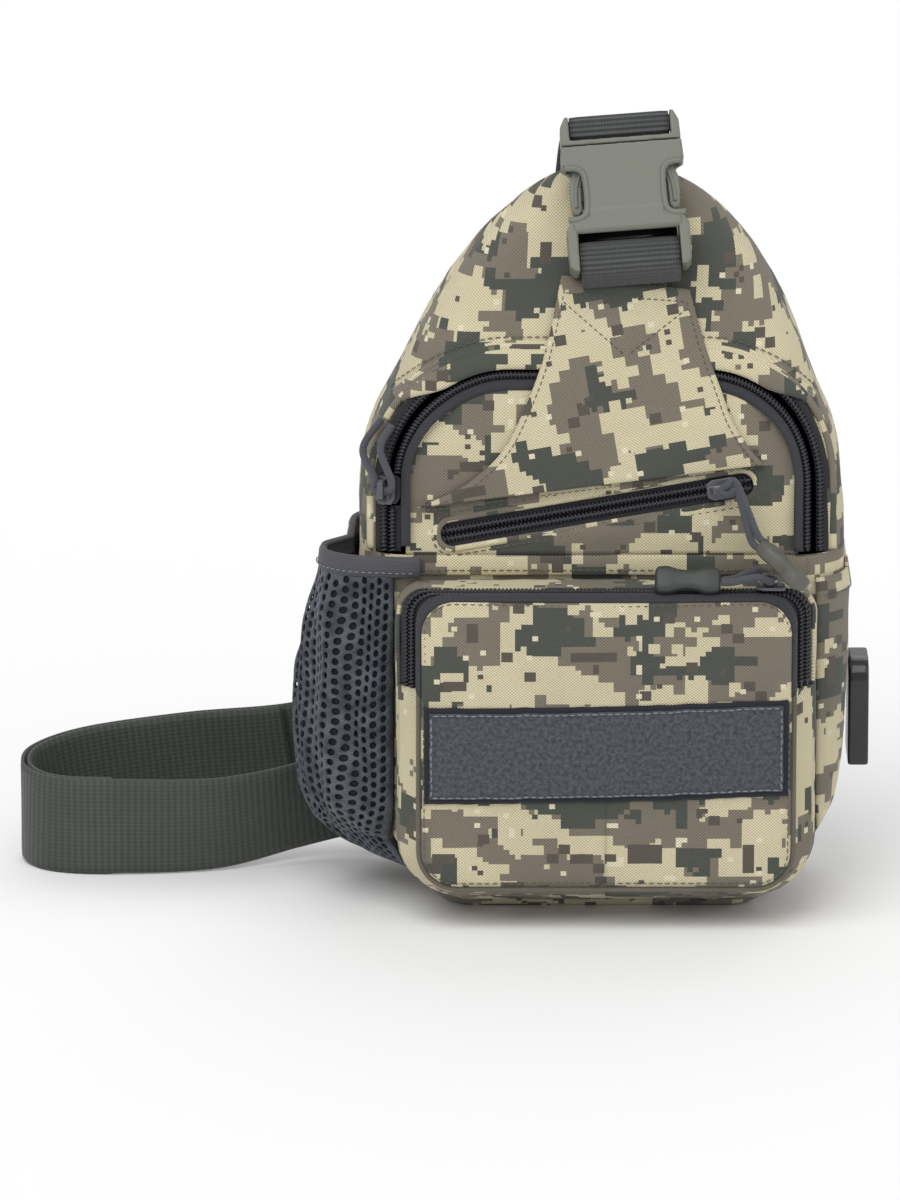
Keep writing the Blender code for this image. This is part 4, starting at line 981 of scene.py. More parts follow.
def net_material(name, light, dark):
    """Yarn of the spacer mesh, with its knitted courses."""
    n = Nodes(name, 0.6)
    u, v, _ = n.split(n.uv())
    slanted = n.math("ADD", v, n.math("MULTIPLY", u, 0.3))
    courses = n.height(n.wave(slanted, 0.0007))
    cloud = n.noise(n.place(), 160.0, 3.0)
    colour = n.mix(n.remap(cloud, 0.35, 0.65, 0.0, 1.0), linear(dark), linear(light))
    # Painted shade in the grooves between the knitted courses and a painted highlight on the courses.
    n.colour(darken(n, colour, courses, 0.65, 1.25))
    n.bump(courses, 0.2)
    n.sheen(0.2)
    return n.material


CAMO = camo_material()
SEAM = weave_material("seam_cloth", (104, 98, 84), 0.85, 0.0011, 0.15)
LINING = weave_material("dark_lining", (38, 39, 43), 0.7, 0.0006, 0.08)
THREAD = weave_material("sewing_thread", (92, 90, 80), 0.7, 0.0005, 0.05)
GREY_THREAD = weave_material("grey_thread", (125, 130, 142), 0.7, 0.0005, 0.05)
TAPE = herringbone_material("zip_tape", (50, 51, 56), 0.0011, 0.0024)
BLACK_TAPE = herringbone_material("dark_zip_tape", (33, 33, 38), 0.0011, 0.0024)
COIL = metal_material("nylon_coil", (44, 44, 50), 0.32, 0.0)
BINDING = ribbed_material("grey_binding", (72, 72, 78), 0.0009, 0.12, low=0.75)
STRAP = ribbed_material("webbing", (64, 69, 63), 0.0026, 0.22, low=0.6)
BUCKLE_WEB = ribbed_material("ribbed_webbing", (72, 74, 74), 0.00185, 0.1, low=0.42)
PLASTIC = plastic_material("olive_plastic", (112, 114, 104), 0.42, 0.05)
GRIP = plastic_material("grip_plastic", (88, 88, 80), 0.5, 0.06)
DARK_GRIP = plastic_material("dark_grip_plastic", (52, 56, 53), 0.46, 0.06)
BLACK = plastic_material("black_plastic", (22, 22, 24), 0.28, 0.02, coat=0.3)
METAL = metal_material("slider_metal", (98, 99, 104), 0.36, 0.55)
PLATED = metal_material("plated_steel", (190, 190, 195), 0.25, 1.0)
CORD = braid_material("braided_cord", (76, 78, 85))
PILE = pile_material()
NET = net_material("spacer_net", (82, 89, 100), (40, 46, 56))
NET_BACK = weave_material("net_backing", (22, 26, 36), 0.85, 0.0009, 0.1)
PAD = net_material("pad_net", (96, 99, 108), (66, 68, 76))


# ---- the body ----------------------------------------------------------------------------------------
def wrinkle(point, big, small, seed=0.0):
    """Height of creased cloth, from a large and a small ripple."""
    return big * ripple(point, 30.0, seed) + small * ripple(point, 9.0, seed + 7.0)


def everywhere(point):
    """For a cut that applies to a whole piece."""
    return True


def on_front(point):
    """For a cut that leaves the back of the body whole."""
    return point[1] < 5.0


def from_back_middle(rows):
    """Reorders closed rings to start and end at the middle of the back, where the seam is hidden."""
    return np.concatenate([rows[:, BACK_MIDDLE:], rows[:, : BACK_MIDDLE + 1]], axis=1)


def build_body():
    heights = [0.0, 0.8, 1.8, 3.0, 4.5, 6.0] + [8.0 + 2.0 * k for k in range(127)]
    heights += [263.0 + 1.25 * k for k in range(16)]
    rings = []
    marks = []
    for share, z in [(s, 0.0) for s in (0.03, 0.35, 0.7, 0.9)] + [(1.0, z) for z in heights]:
        rings.append([Vector((p.x * share, p.y * share, z)) for p in body_ring(z)])
        marks.append((z - 35.0 * (1 - share), body_ring(z)))
    for share in (0.7, 0.4, 0.03):
        top = body_ring(BODY_TOP)
        middle = Vector((lean(BODY_TOP), 22.5, BODY_TOP))
        rings.append([middle + (p - middle) * share for p in top])
        marks.append((BODY_TOP + 6.0 * (1 - share), top))
    uvs = []
    for height, ring in marks:
        steps = [(ring[(k + 1) % len(ring)] - ring[k]).length for k in range(len(ring))]
        around = np.concatenate([[0.0], np.cumsum(steps)])
        middle = profile(ring[0].z)[0] - profile(ring[0].z)[3]
        row = [(around[k] - middle, height) for k in range(len(ring))]
        uvs.append([(u - around[-1], v) for u, v in row[BACK_MIDDLE:]] + row[: BACK_MIDDLE + 1])

    def relief(p, i, j):
        low = ease(p[2], 0.0, 8.0)
        creases = 0.5 * abs(ripple((p[0], p[1], p[2] * 2.2), 16.0, 3.0)) * ease(p[2], 60.0, 5.0)
        return low * (wrinkle(p, 0.9, 0.35) + creases)

    grid = from_back_middle(shape_grid(rings, relief, closed=True))
    cut = (mouth_distance, on_front)
    looks = {"cut": cut, "lining": LINING, **BAG_CLOTH}
    outer = cloth_piece("body_outer", grid, uvs, CAMO, 1.6, (0.0, 0.0, 100.0), **looks)
    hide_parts("body_shell")

    welt = Path(zip_frames(arch_path(BODY_EDGE + 1.3), 0.3))
    sweep_piece("mouth_welt", welt, oval(1.7, 1.3, 12), CAMO, 2.0, **BAG_CLOTH)
    places = [(x, z) for x, z, _ in arch_path(BODY_EDGE + 5.2) if abs(x - lean(z)) < 83.0]
    stitch_line("body", *front_line(places, 0.5))


def arch_path(offset, bends=30, tops=30):
    """Points (x, z, direction out) along the main zip, from the left leg's foot to the right leg's."""
    legs = 10
    spring = ARCH_TOP - ARCH_RADIUS
    middle = ARCH_HALF_WIDTH - ARCH_RADIUS
    path = []
    for k in range(legs):
        path.append((-ARCH_HALF_WIDTH, ZIP_FOOT + (spring - ZIP_FOOT) * k / legs, (-1.0, 0.0)))
    for k in range(bends):
        turn = math.radians(180 - 90 * k / bends)
        out = (math.cos(turn), math.sin(turn))
        path.append((-middle + ARCH_RADIUS * out[0], spring + ARCH_RADIUS * out[1], out))
    for k in range(tops):
        path.append((-middle + 2 * middle * k / tops, ARCH_TOP, (0.0, 1.0)))
    for k in range(bends):
        turn = math.radians(90 - 90 * k / bends)
        out = (math.cos(turn), math.sin(turn))
        path.append((middle + ARCH_RADIUS * out[0], spring + ARCH_RADIUS * out[1], out))
    for k in range(legs + 1):
        path.append((ARCH_HALF_WIDTH, spring + (ZIP_FOOT - spring) * k / legs, (1.0, 0.0)))
    return [(x + o[0] * offset + lean(z), z + o[1] * offset, o) for x, z, o in path]


def zip_frames(path, out):
    frames = []
    for x, z, way in path:
        normal = front_normal(x, z)
        across = square_to(Vector((way[0], 0.0, way[1])), normal)
        frames.append((front_point(x, z, out), across, normal))
    return frames


def build_main_zip():
    path = Path(zip_frames(arch_path(0.0), -ZIP_DEPTH))
    closed_end = SLIDER_Z - ZIP_FOOT - 5.5
    open_start = SLIDER_Z - ZIP_FOOT + 7.0
    body = {"body": "bag_body", "slot": "zip"}
    flap = {"body": "flap", "slot": "zip"}
    tape = flat_section(0.5, BODY_EDGE + 1.2, -0.35, 0.7)
    piece = sweep_piece("main_tape_body", path, tape, BLACK_TAPE, 2.0, **body)
    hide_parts("main_zip_body_half")
    coil_piece("main_coil_body", path, 1.75, 1.35, 0.75, "bag_body")
    tape = flat_section(-4.9, -0.5, -0.35, 0.7)
    piece = sweep_piece("main_tape_closed", path, tape, BLACK_TAPE, 2.0, 0.0, closed_end, **body)
    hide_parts("main_zip_closed_half")
    coil_piece("main_coil_closed", path, -1.75, 1.35, 0.75, "bag_body", 0.0, closed_end)
    tape = flat_section(-7.2, -2.2, -0.35, 0.7)
    piece = sweep_piece("main_tape_flap", path, tape, BLACK_TAPE, 2.0, open_start, **flap)
    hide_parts("main_zip_flap_half")
    coil_piece("main_coil_flap", path, -3.7, 1.35, 0.75, "flap", open_start)
    edge = [(-9.6, 1.4), (-8.6, 1.95), (-7.2, 2.0), (-5.9, 1.6)]
    edge += [(-5.4, 0.9), (-5.6, 0.4), (-7.2, 1.2), (-9.4, 1.0)]
    sweep_piece("main_edge_tape", path, edge, TAPE, 2.0, 2.0, body="flap", slot="grey_binding")


def build_mouth_lip():
    """The body cloth that falls over its half of the zip round the arch, thinning out towards the legs."""
    grid = []
    for x, z, out in arch_path(0.0, 60, 50):
        if z < 194.0:
            continue
        cover = ease(z, 192.0, 207.0)
        outer = BODY_EDGE + 5.0
        inner = BODY_EDGE + 1.0 - 7.6 * cover
        row = []
        for k in range(14):
            share = k / 13
            offset = outer + (inner - outer) * share
            height = 1.5 * ease(share, 0.0, 0.16) - 0.7
            height += (0.3 + 1.3 * cover) * ease(share, 0.1, 0.7) - 0.9 * ease(share, 0.86, 1.0)
            row.append(front_point(x + out[0] * offset, z + out[1] * offset, height))
        grid.append(row)
    cloth_piece("mouth_lip", grid, front_uvs(grid), CAMO, 0.9, BEHIND_FRONT, **BAG_CLOTH)


# ---- the flap, its diagonal pocket and the reinforcing panel ----------------------------------------------
def flap_relief(x, z):
    """How far the flap's cloth stands off its flat line: a low crown with wrinkles, sunk at its edges."""
    inside = FLAP_EDGE - arch_distance(x, z)
    crown = 0.9 * ease(inside, 0.0, 16.0)
    folds = wrinkle((x, 0.0, z), 0.55, 0.25, 11.0) * ease(inside, 1.0, 9.0)
    pull = 0.5 * ripple((x * 0.5, 0.0, z * 2.2), 14.0, 5.0) * ease(z, 172.0, 150.0) * ease(inside, 1.0, 9.0)
    sink = 0.8 * ease(slot_distance(x, z), 6.0, 0.0)
    return (crown + folds + pull) * ease(z, 142.0, 150.0) - sink


def lining_depth(x, z):
    return -3.0 - 0.3 * ripple((x, 0.0, z), 22.0, 2.0)


def flap_grid(offset, low_z, out, columns=84):
    """A grid that fills the arch up to `offset` outside the zip's line, at a height out(x, z)."""
    spring = ARCH_TOP - ARCH_RADIUS
    middle = ARCH_HALF_WIDTH - ARCH_RADIUS
    radius = ARCH_RADIUS + offset
    rows = [(low_z + (spring - low_z) * k / 16, middle + radius) for k in range(16)]
    for k in range(33):
        turn = math.radians(90 * k / 32)
        rows.append((spring + radius * math.sin(turn), middle + radius * math.cos(turn)))
    grid = []
    for z, half in rows:
        row = []
        for k in range(columns):
            x = lean(z) - half + 2 * half * k / (columns - 1)
            row.append(front_point(x, z, out(x, z)))
        grid.append(row)
    return grid


def front_uvs(grid):
    return [[(p[0], p[2]) for p in row] for row in grid]


def settle(piece):
    """Turns a piece's modifiers into its mesh."""
    graph = bpy.context.evaluated_depsgraph_get()
    final = bpy.data.meshes.new_from_object(piece.evaluated_get(graph))
    piece.modifiers.clear()
    piece.data = final


def capsule(distance):
    """Points (x, z) round the diagonal zip's window at a distance outside it."""
    half = DIAG_SLOT / 2
    radius = half + distance
    places = []
    run = DIAG_LENGTH - DIAG_SLOT
    steps = int(run / 1.5)
    for k in range(steps):
        places.append(diag_point(half + run * k / steps, -radius))
    for k in range(12):
        turn = math.radians(-90 + 180 * k / 12)
        places.append(diag_point(DIAG_LENGTH - half + radius * math.cos(turn), radius * math.sin(turn)))
    for k in range(steps):
        places.append(diag_point(DIAG_LENGTH - half - run * k / steps, radius))
    for k in range(13):
        turn = math.radians(90 + 180 * k / 12)
        places.append(diag_point(half + radius * math.cos(turn), radius * math.sin(turn)))
    return places


def ring_path(places, out):
    """A path round an outline on the front, with its side direction pointing to the outline's left."""
    frames = []
    points = [front_point(x, z, out) for x, z in places]
    for k in range(len(places)):
        along = direction(points, k).normalized()
        normal = front_normal(*places[k])
        frames.append((points[k], along.cross(normal).normalized(), normal))
    return Path(frames)


def build_flap():
    grid = flap_grid(FLAP_EDGE, HINGE_Z + 0.2, flap_relief)
    looks = {"cut": (slot_distance, everywhere), "lining": LINING, "slot": "camo_fabric"}
    flap = cloth_piece("flap_cloth", grid, front_uvs(grid), CAMO, 1.5, BEHIND_FRONT, **looks)
    settle(flap)
    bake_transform(flap)
    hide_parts("main_flap")
    lips = ring_path(capsule(0.7), -0.45)
    sweep_piece("diag_lips", lips, oval(1.25, 0.85, 10), CAMO, 1.5, **FLAP_CLOTH)
    stitch_line("flap", *front_line(capsule(3.0), 0.15))

    frames = []
    for k in range(60):
        x, z = diag_point(1.2 + (DIAG_LENGTH - 2.4) * k / 59)
        normal = front_normal(x, z)
        across = square_to(Vector((-math.sin(DIAG_ANGLE), 0.0, math.cos(DIAG_ANGLE))), normal)
        frames.append((front_point(x, z, -ZIP_DEPTH), across, normal))
    path = Path(frames)
    for name, side, cloth in (("upper", 1.0, BLACK_TAPE), ("lower", -1.0, TAPE)):
        low, high = sorted((side * 0.5, side * 5.4))
        tape = flat_section(low, high, -0.75, 0.7)
        piece = sweep_piece(f"diag_tape_{name}", path, tape, cloth, 2.0, body="flap", slot="zip")
        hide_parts(f"diag_zip_{name}_half")
        coil_piece(f"diag_coil_{name}", path, side * 1.65, 1.45, 0.5, "flap")

    grid = flap_grid(FLAP_EDGE - 2.5, HINGE_Z + 2.6, lining_depth, 40)
    looks = {"body": "flap", "slot": "lining"}
    pocket = cloth_piece("diag_pocket", grid, front_uvs(grid), LINING, 3.2, BEHIND_FRONT, **looks)
    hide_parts("diag_pocket_lining")


def panel_side(stations, inward=0.0):
    """A side of the reinforcing panel, moved inwards."""
    line = smooth_path([(x, 0.0, z) for x, z in stations], 10)
    moved = []
    for k, p in enumerate(line):
        along = direction(line, k)
        side = Vector((along.z, 0.0, -along.x)).normalized()
        moved.append((p.x + side.x * inward, p.z + side.z * inward))
    return moved


def panel_out(x, z):
    """How far the reinforcing panel stands off the body. Low down it follows the flap."""
    follow = 0.8 * flap_relief(x, min(z, 200.0)) * ease(z, 215.0, 190.0)
    return 2.9 + follow + 0.25 * ripple((x, 0.0, z), 12.0, 21.0)


def build_panel():
    grid = []
    for (x0, z0), (x1, z1) in zip(panel_side(PANEL_LEFT), panel_side(PANEL_RIGHT)):
        row = []
        for k in range(60):
            x = x0 + (x1 - x0) * k / 59
            z = z0 + (z1 - z0) * k / 59
            edge = 0.5 * ease(min(k, 59 - k), 2.0, 0.0)
            row.append(front_point(x, z, panel_out(x, z) - edge))
        grid.append(row)
    uvs = [[(u * 0.98 + v * 0.17 + 40.0, v * 0.98 - u * 0.17) for u, v in row] for row in front_uvs(grid)]
    panel = cloth_piece("triangle_cloth", grid, uvs, CAMO, 1.3, BEHIND_FRONT, **FLAP_CLOTH)
    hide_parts("triangle_panel")
    left = panel_side(PANEL_LEFT, 2.2)
    right = panel_side(PANEL_RIGHT, -2.2)
    tip = (9.2, 216.0)
    lines = [left[1:-1], right[1:-1], straight(left[1], right[1])]
    lines += [straight(left[-4], tip), straight(right[-4], tip), straight(left[-3], right[-3])]
    for line in lines:
        points = [front_point(x, z, panel_out(x, z)) for x, z in line]
        stitch_line("panel", points, [front_normal(x, z) for x, z in line], 2.6, 2.0, 0.2, 0.05)


def build_hinge_band():
    """The folded seam between the flap and the front pocket."""
    heights = (134.4, 134.9, 136.0, 138.0, 140.0, 141.2, 141.6)
    grid = []
    for z in heights:
        edge = 0.5 * ease(min(z - heights[0], heights[-1] - z), 1.0, 0.0)
        row = []
        for k in range(90):
            x = -72.0 + 150.0 * k / 89
            row.append(front_point(x, z, 1.5 - edge + 0.3 * ripple((x, 0.0, z), 11.0, 4.0)))
        grid.append(row)
    cloth_piece("hinge_band", grid, front_uvs(grid), CAMO, 0.9, BEHIND_FRONT, **BAG_CLOTH)
    stitch_line("body", *front_line(straight((-70.0, 136.3), (76.0, 136.3)), 1.6))


# ---- the front pocket --------------------------------------------------------------------------------

def pocket_ring(y):
    """The pocket's outline at one depth, starting and ending at the middle of its underside."""
    half, low, high, upper, lower = between(POCKET_STATIONS, y)
    ring = []
    corners = (
        (half - lower, low + lower, lower, 270),
        (half - upper, high - upper, upper, 0),
        (-half + upper, high - upper, upper, 90),
        (-half + lower, low + lower, lower, 180),
    )
    runs = (20, 24, 54, 24, 20)
    before = (0.0, low)
    for run, (cx, cz, radius, start) in zip(runs, corners):
        turn = math.radians(start)
        after = (cx + radius * math.cos(turn), cz + radius * math.sin(turn))
        for k in range(run):
            t = k / run
            x = before[0] + (after[0] - before[0]) * t
            ring.append((x, before[1] + (after[1] - before[1]) * t))
        ring += corner(cx, cz, radius, start, POCKET_CORNER_STEPS)
        turn = math.radians(start + 90)
        before = (cx + radius * math.cos(turn), cz + radius * math.sin(turn))
    for k in range(runs[-1] + 1):
        ring.append((before[0] + (0.0 - before[0]) * k / runs[-1], low))
    return [Vector((POCKET_X + x, y, z)) for x, z in ring]


def ring_marks(ring):
    steps = [(b - a).length for a, b in zip(ring, ring[1:])]
    return np.concatenate([[0.0], np.cumsum(steps)])


def build_pocket_seam():
    """The pinched seam between the pocket's face and its gusset, below the zip's ends."""
    ring = pocket_ring(-64.6)
    inner = pocket_ring(-66.2)
    frames = []
    for k in range(len(ring)):
        a, b = ring[k], inner[k]
        along = direction(ring, k)
        side = (b - a).normalized()
        out = along.cross(side).normalized()
        if (a.x - POCKET_X) * out.x + (a.z - POCKET_MIDDLE) * out.z < 0:
            out = -out
        frames.append((a, side, out))
    low = [k for k, p in enumerate(ring) if p.z <= FOLD_Z + 1.0]
    split = next(i for i in range(1, len(low)) if low[i] - low[i - 1] > 1)
    order = low[split:] + low[1:split]
    path = Path([frames[k] for k in order])
    sweep_piece("pocket_seam", path, oval(1.0, 1.5, 10, 0.0, 0.35), SEAM, 1.5, **BAG_CLOTH)
    points = [frames[k][0] + frames[k][1] * 3.0 + Vector((0.0, -0.4, 0.0)) for k in order]
    stitch_line("body", points, [(0.0, -1.0, 0.0)] * len(points))


def above_fold(x, z):
    """Negative above the line that the pocket's face folds on."""
    return FOLD_Z - z


def build_gusset():
    def relief(p, i, j):
        return wrinkle(p, 0.5, 0.3, 17.0)

    for name, first, last, cut in (
        ("gusset_back", -38.4, -53.0, None),
        ("gusset_low", -53.0, -62.0, (above_fold, everywhere)),
    ):
        depths = [first + (last - first) * k / 7 for k in range(8)]
        rings = [pocket_ring(y) for y in depths]
        marks = ring_marks(rings[0])
        uvs = []
        for y, ring in zip(depths, rings):
            spread = [(p - q).length for p, q in zip(ring, rings[0])]
            uvs.append([(m, -first + far) for m, far in zip(marks, spread)])
        looks = {"cut": cut, "lining": LINING, **BAG_CLOTH}
        piece = cloth_piece(name, shape_grid(rings, relief), uvs, CAMO, 1.4, POCKET_INSIDE, **looks)
        if cut is not None:
            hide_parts("front_pocket")


def build_pocket_face():
    rings = [pocket_ring(y) for y in (-62.0, -63.0, -64.1, -65.2, -65.9, -66.5)]
    edge = rings[-1]
    middle = Vector((POCKET_X, 0.0, POCKET_MIDDLE))
    for k in range(34):
        share = 0.985 * (1 - k / 34) + 0.01
        y = -66.5 - 0.4 * ease(1 - share, 0.0, 0.12)
        ring = []
        for p in edge:
            flat = middle + (Vector((p.x, 0.0, p.z)) - middle) * share
            ring.append(Vector((flat.x, y, flat.z)))
        rings.append(ring)

    def relief(p, i, j):
        near_edge = ease(i, 3.0, 10.0)
        gathers = 0.9 * abs(ripple((p[0] * 1.6, 0.0, p[2] * 0.5), 13.0, 9.0)) * ease(p[2], 60.0, 22.0)
        pulls = 0.7 * ripple((p[0] * 0.6, 0.0, p[2] * 1.9), 15.0, 31.0) * ease(p[2], 92.0, 112.0)
        return near_edge * (wrinkle(p, 0.8, 0.35, 13.0) + gathers + pulls)

    grid = shape_grid(rings, relief)
    looks = {"lining": LINING, "slot": "camo_fabric"}
    uvs = [[(p[0] + 15.0, p[2] + 9.0) for p in row] for row in grid]
    face = cloth_piece("pocket_face", grid, uvs, CAMO, 1.4, POCKET_INSIDE, **looks)
    settle(face)
    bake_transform(face)
    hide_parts("front_flap")

    back, front = pocket_ring(-61.4), pocket_ring(-65.6)
    above = [(a, b) for a, b in zip(back, front) if a.z > POCKET_ZIP_FOOT]
    edge = [a for a, b in above]
    path = []
    for k, (a, b) in enumerate(above):
        side = (b - a).normalized()
        path.append(((a + b) / 2, side, direction(edge, k).cross(side).normalized()))
    piping = Path(path)
    looks = {"body": "pocket_flap", "slot": "grey_binding"}
    sweep_piece("pocket_piping", piping, oval(2.9, 1.15, 14, 0.0, 0.2), TAPE, 2.0, **looks)
    points, _, outs = piping.frames(np.linspace(0.0, piping.length, 200))
    lift = points + outs * 0.1 + np.array([0.0, -2.6, 0.0])
    middle = np.array([POCKET_X, 0.0, 80.0])
    inward = middle - lift
    inward[:, 1] = 0.0
    inward /= np.linalg.norm(inward, axis=1, keepdims=True)
    lift = lift + inward * 2.4
    stitch_line("pocket", lift, np.tile((0.0, -1.0, 0.0), (200, 1)))


def pocket_zip_frames():
    """Frames round the pocket's zip from the left leg, over the top, to the right leg."""
    half, _, high, radius, _ = between(POCKET_STATIONS, POCKET_ZIP_Y)
    marks = []
    foot = POCKET_ZIP_FOOT
    for k in range(10):
        marks.append((-half, foot + (high - radius - foot) * k / 10, 180))
    for k in range(16):
        turn = 180 - 90 * k / 16
        cosine, sine = math.cos(math.radians(turn)), math.sin(math.radians(turn))
        marks.append((-half + radius + radius * cosine, high - radius + radius * sine, turn))
    for k in range(40):
        marks.append((-half + radius + (2 * half - 2 * radius) * k / 40, high, 90))
    for k in range(16):
        turn = 90 - 90 * k / 16
        cosine, sine = math.cos(math.radians(turn)), math.sin(math.radians(turn))
        marks.append((half - radius + radius * cosine, high - radius + radius * sine, turn))
    for k in range(11):
        marks.append((half, high - radius + (foot - high + radius) * k / 10, 0))
    before = between(POCKET_STATIONS, POCKET_ZIP_Y - 3)
    after = between(POCKET_STATIONS, POCKET_ZIP_Y + 3)
    frames = []
    for x, z, turn in marks:
        out = Vector((math.cos(math.radians(turn)), 0.0, math.sin(math.radians(turn))))
        grow = abs(out.x) * (after[0] - before[0]) / 6 + max(out.z, 0.0) * (after[2] - before[2]) / 6
        across = (Vector((0.0, 1.0, 0.0)) + out * grow).normalized()
        normal = square_to(out, across)
        frames.append((Vector((POCKET_X + x, POCKET_ZIP_Y, z)) - normal * ZIP_DEPTH, across, normal))
    return frames


def build_pocket_zip():
    path = Path(pocket_zip_frames())
    for name, side, body in (("gusset", 1.0, "bag_body"), ("flap", -1.0, "pocket_flap")):
        low, high = sorted((side * 0.5, side * 4.6))
        tape = flat_section(low, high, -0.35, 0.8)
        piece = sweep_piece(f"front_tape_{name}", path, tape, BLACK_TAPE, 2.0, body=body, slot="zip")
        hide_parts(f"front_zip_{name}_half")
        coil_piece(f"front_coil_{name}", path, side * 1.6, 1.35, 0.85, body)


def build_patch():
    """The loop patch: a pile field in a dark selvage, sewn round its edge."""
    body = {"body": "bag_body", "slot": "loop_tape"}
    for name, inset, y, thick, columns, rows, material in (
        ("patch_selvage", 0.0, -67.9, 1.3, 100, 30, NET_BACK),
        ("patch_pile", 2.1, -68.7, 1.2, 180, 50, PILE),
    ):
        half_x = PATCH_HALF_X - inset
        half_z = PATCH_HALF_Z - inset
        grid = []
        for i in range(rows):
            row = []
            for k in range(columns):
                s = -1 + 2 * k / (columns - 1)
                t = -1 + 2 * i / (rows - 1)
                x = POCKET_X + s * half_x + 0.35 * ripple((s * 9.0, t * 60.0, inset), 6.0, 2.0)
                z = PATCH_Z + t * half_z + 0.45 * ripple((s * 130.0, t * 2.0, inset), 13.0, 8.0)
                z += PATCH_TILT * s - PATCH_SAG * math.cos(math.pi * s / 2)
                rough = 0.22 * ripple((x, 0.0, z), 1.8, 3.0) if inset else 0.0
                drop = 0.5 * ease(min(1 - abs(s), (1 - abs(t)) * 0.3), 0.03, 0.0)
                row.append(Vector((x, y - rough + drop + 0.25 * ripple((x, 0.0, z), 25.0, 3.0), z)))
            grid.append(row)
        piece = cloth_piece(name, grid, front_uvs(grid), material, thick, (0.0, 0.0, 72.0), **body)
        if inset:
            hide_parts("loop_patch")
            inner = grid[1:-1]
            sides = [inner[0][1:-1], [row[-2] for row in inner], inner[-1][1:-1], [row[1] for row in inner]]
            for edge in sides:
                points = [p + Vector((0.0, -0.35, 0.0)) for p in edge]
                stitch_line("patch", points, [(0.0, -1.0, 0.0)] * len(points), 2.9, 2.3, 0.32)


# ---- the side pockets --------------------------------------------------------------------------------


def mesh_profile(up):
    """Height and share of the full bulge at a distance up the mesh, which turns under at its foot."""
    share = min(max((up - MESH_HEM) / (MESH_ROUND - MESH_HEM), 0.0), 1.0)
    turn = ease(up, MESH_HEM, MESH_ROUND) * 0.2 + 0.8 * share
    turn *= math.pi / 2
    z = up if up > MESH_ROUND else MESH_ROUND - (MESH_ROUND - MESH_BOTTOM) * math.cos(turn)
    return z, math.sin(turn) ** 0.65


def mesh_bulge(turn, z, rise=1.0):
    """How far the mesh pocket stands off the body's left side: full below, drawn in behind its mouth."""
    neck = between(MESH_FULLNESS, z)[0]
    first = side_turn(MESH_FROM_X, z)
    across = min(max((turn - first) / (MESH_TO - first), 0.0), 1.0)
    belly = math.sin(math.pi * across) ** 0.8
    mouth = ease(z, 88.0, 136.0)
    flat = 0.85 * ease(across, 0.0, 0.3) * ease(across, 0.56, 0.33)
    flat = max(flat, 0.1 * belly)
    return 1.1 + MESH_BULGE * rise * neck * (belly * (1 - mouth) + flat * mouth)


def mesh_fold(share, z):
    """Upright folds of the slack mesh."""
    wander = 0.5 * ripple((share * 40.0, 0.0, z), 30.0, 2.0)
    fold = math.sin(2 * math.pi * (share * 6.5 + wander))
    fold = 1.8 * fold * ease(min(share, 1 - share), 0.0, 0.12) * ease(z, 16.0, 50.0) * ease(z, 140.0, 118.0)
    line = 0.28 + 0.13 * ease(z, 14.0, 52.0)
    crease = 5.0 * math.exp(-(((share - line) / 0.045) ** 2)) * ease(z, 76.0, 50.0)
    return fold - crease


def mesh_point(share, up, extra):
    """A point of the mesh pocket, at a share across it and a distance up it."""
    z, rise = mesh_profile(up)
    first = side_turn(MESH_FROM_X, z)
    turn = first + (MESH_TO - first) * share
    out = mesh_bulge(turn, z, rise) + rise * mesh_fold(share, z) + extra
    return side_point(turn, z, out, -1.0)


def mesh_cell(wide, high):
    """The outline and the oval hole of one six-sided cell, as twelve places each round its middle."""
    ring = [(-wide, -high), (wide, -high), (2 * wide, 0.0)]
    ring += [(wide, high), (-wide, high), (-2 * wide, 0.0)]
    outer = []
    for a, b in zip(ring, ring[1:] + ring[:1]):
        outer.append(a)
        outer.append(((a[0] + b[0]) / 2, (a[1] + b[1]) / 2))
    hole = []
    for a, b in outer:
        turn = math.atan2(b / high, a / (1.6 * wide))
        hole.append((1.02 * wide * math.cos(turn), 0.78 * high * math.sin(turn)))
    return outer, hole


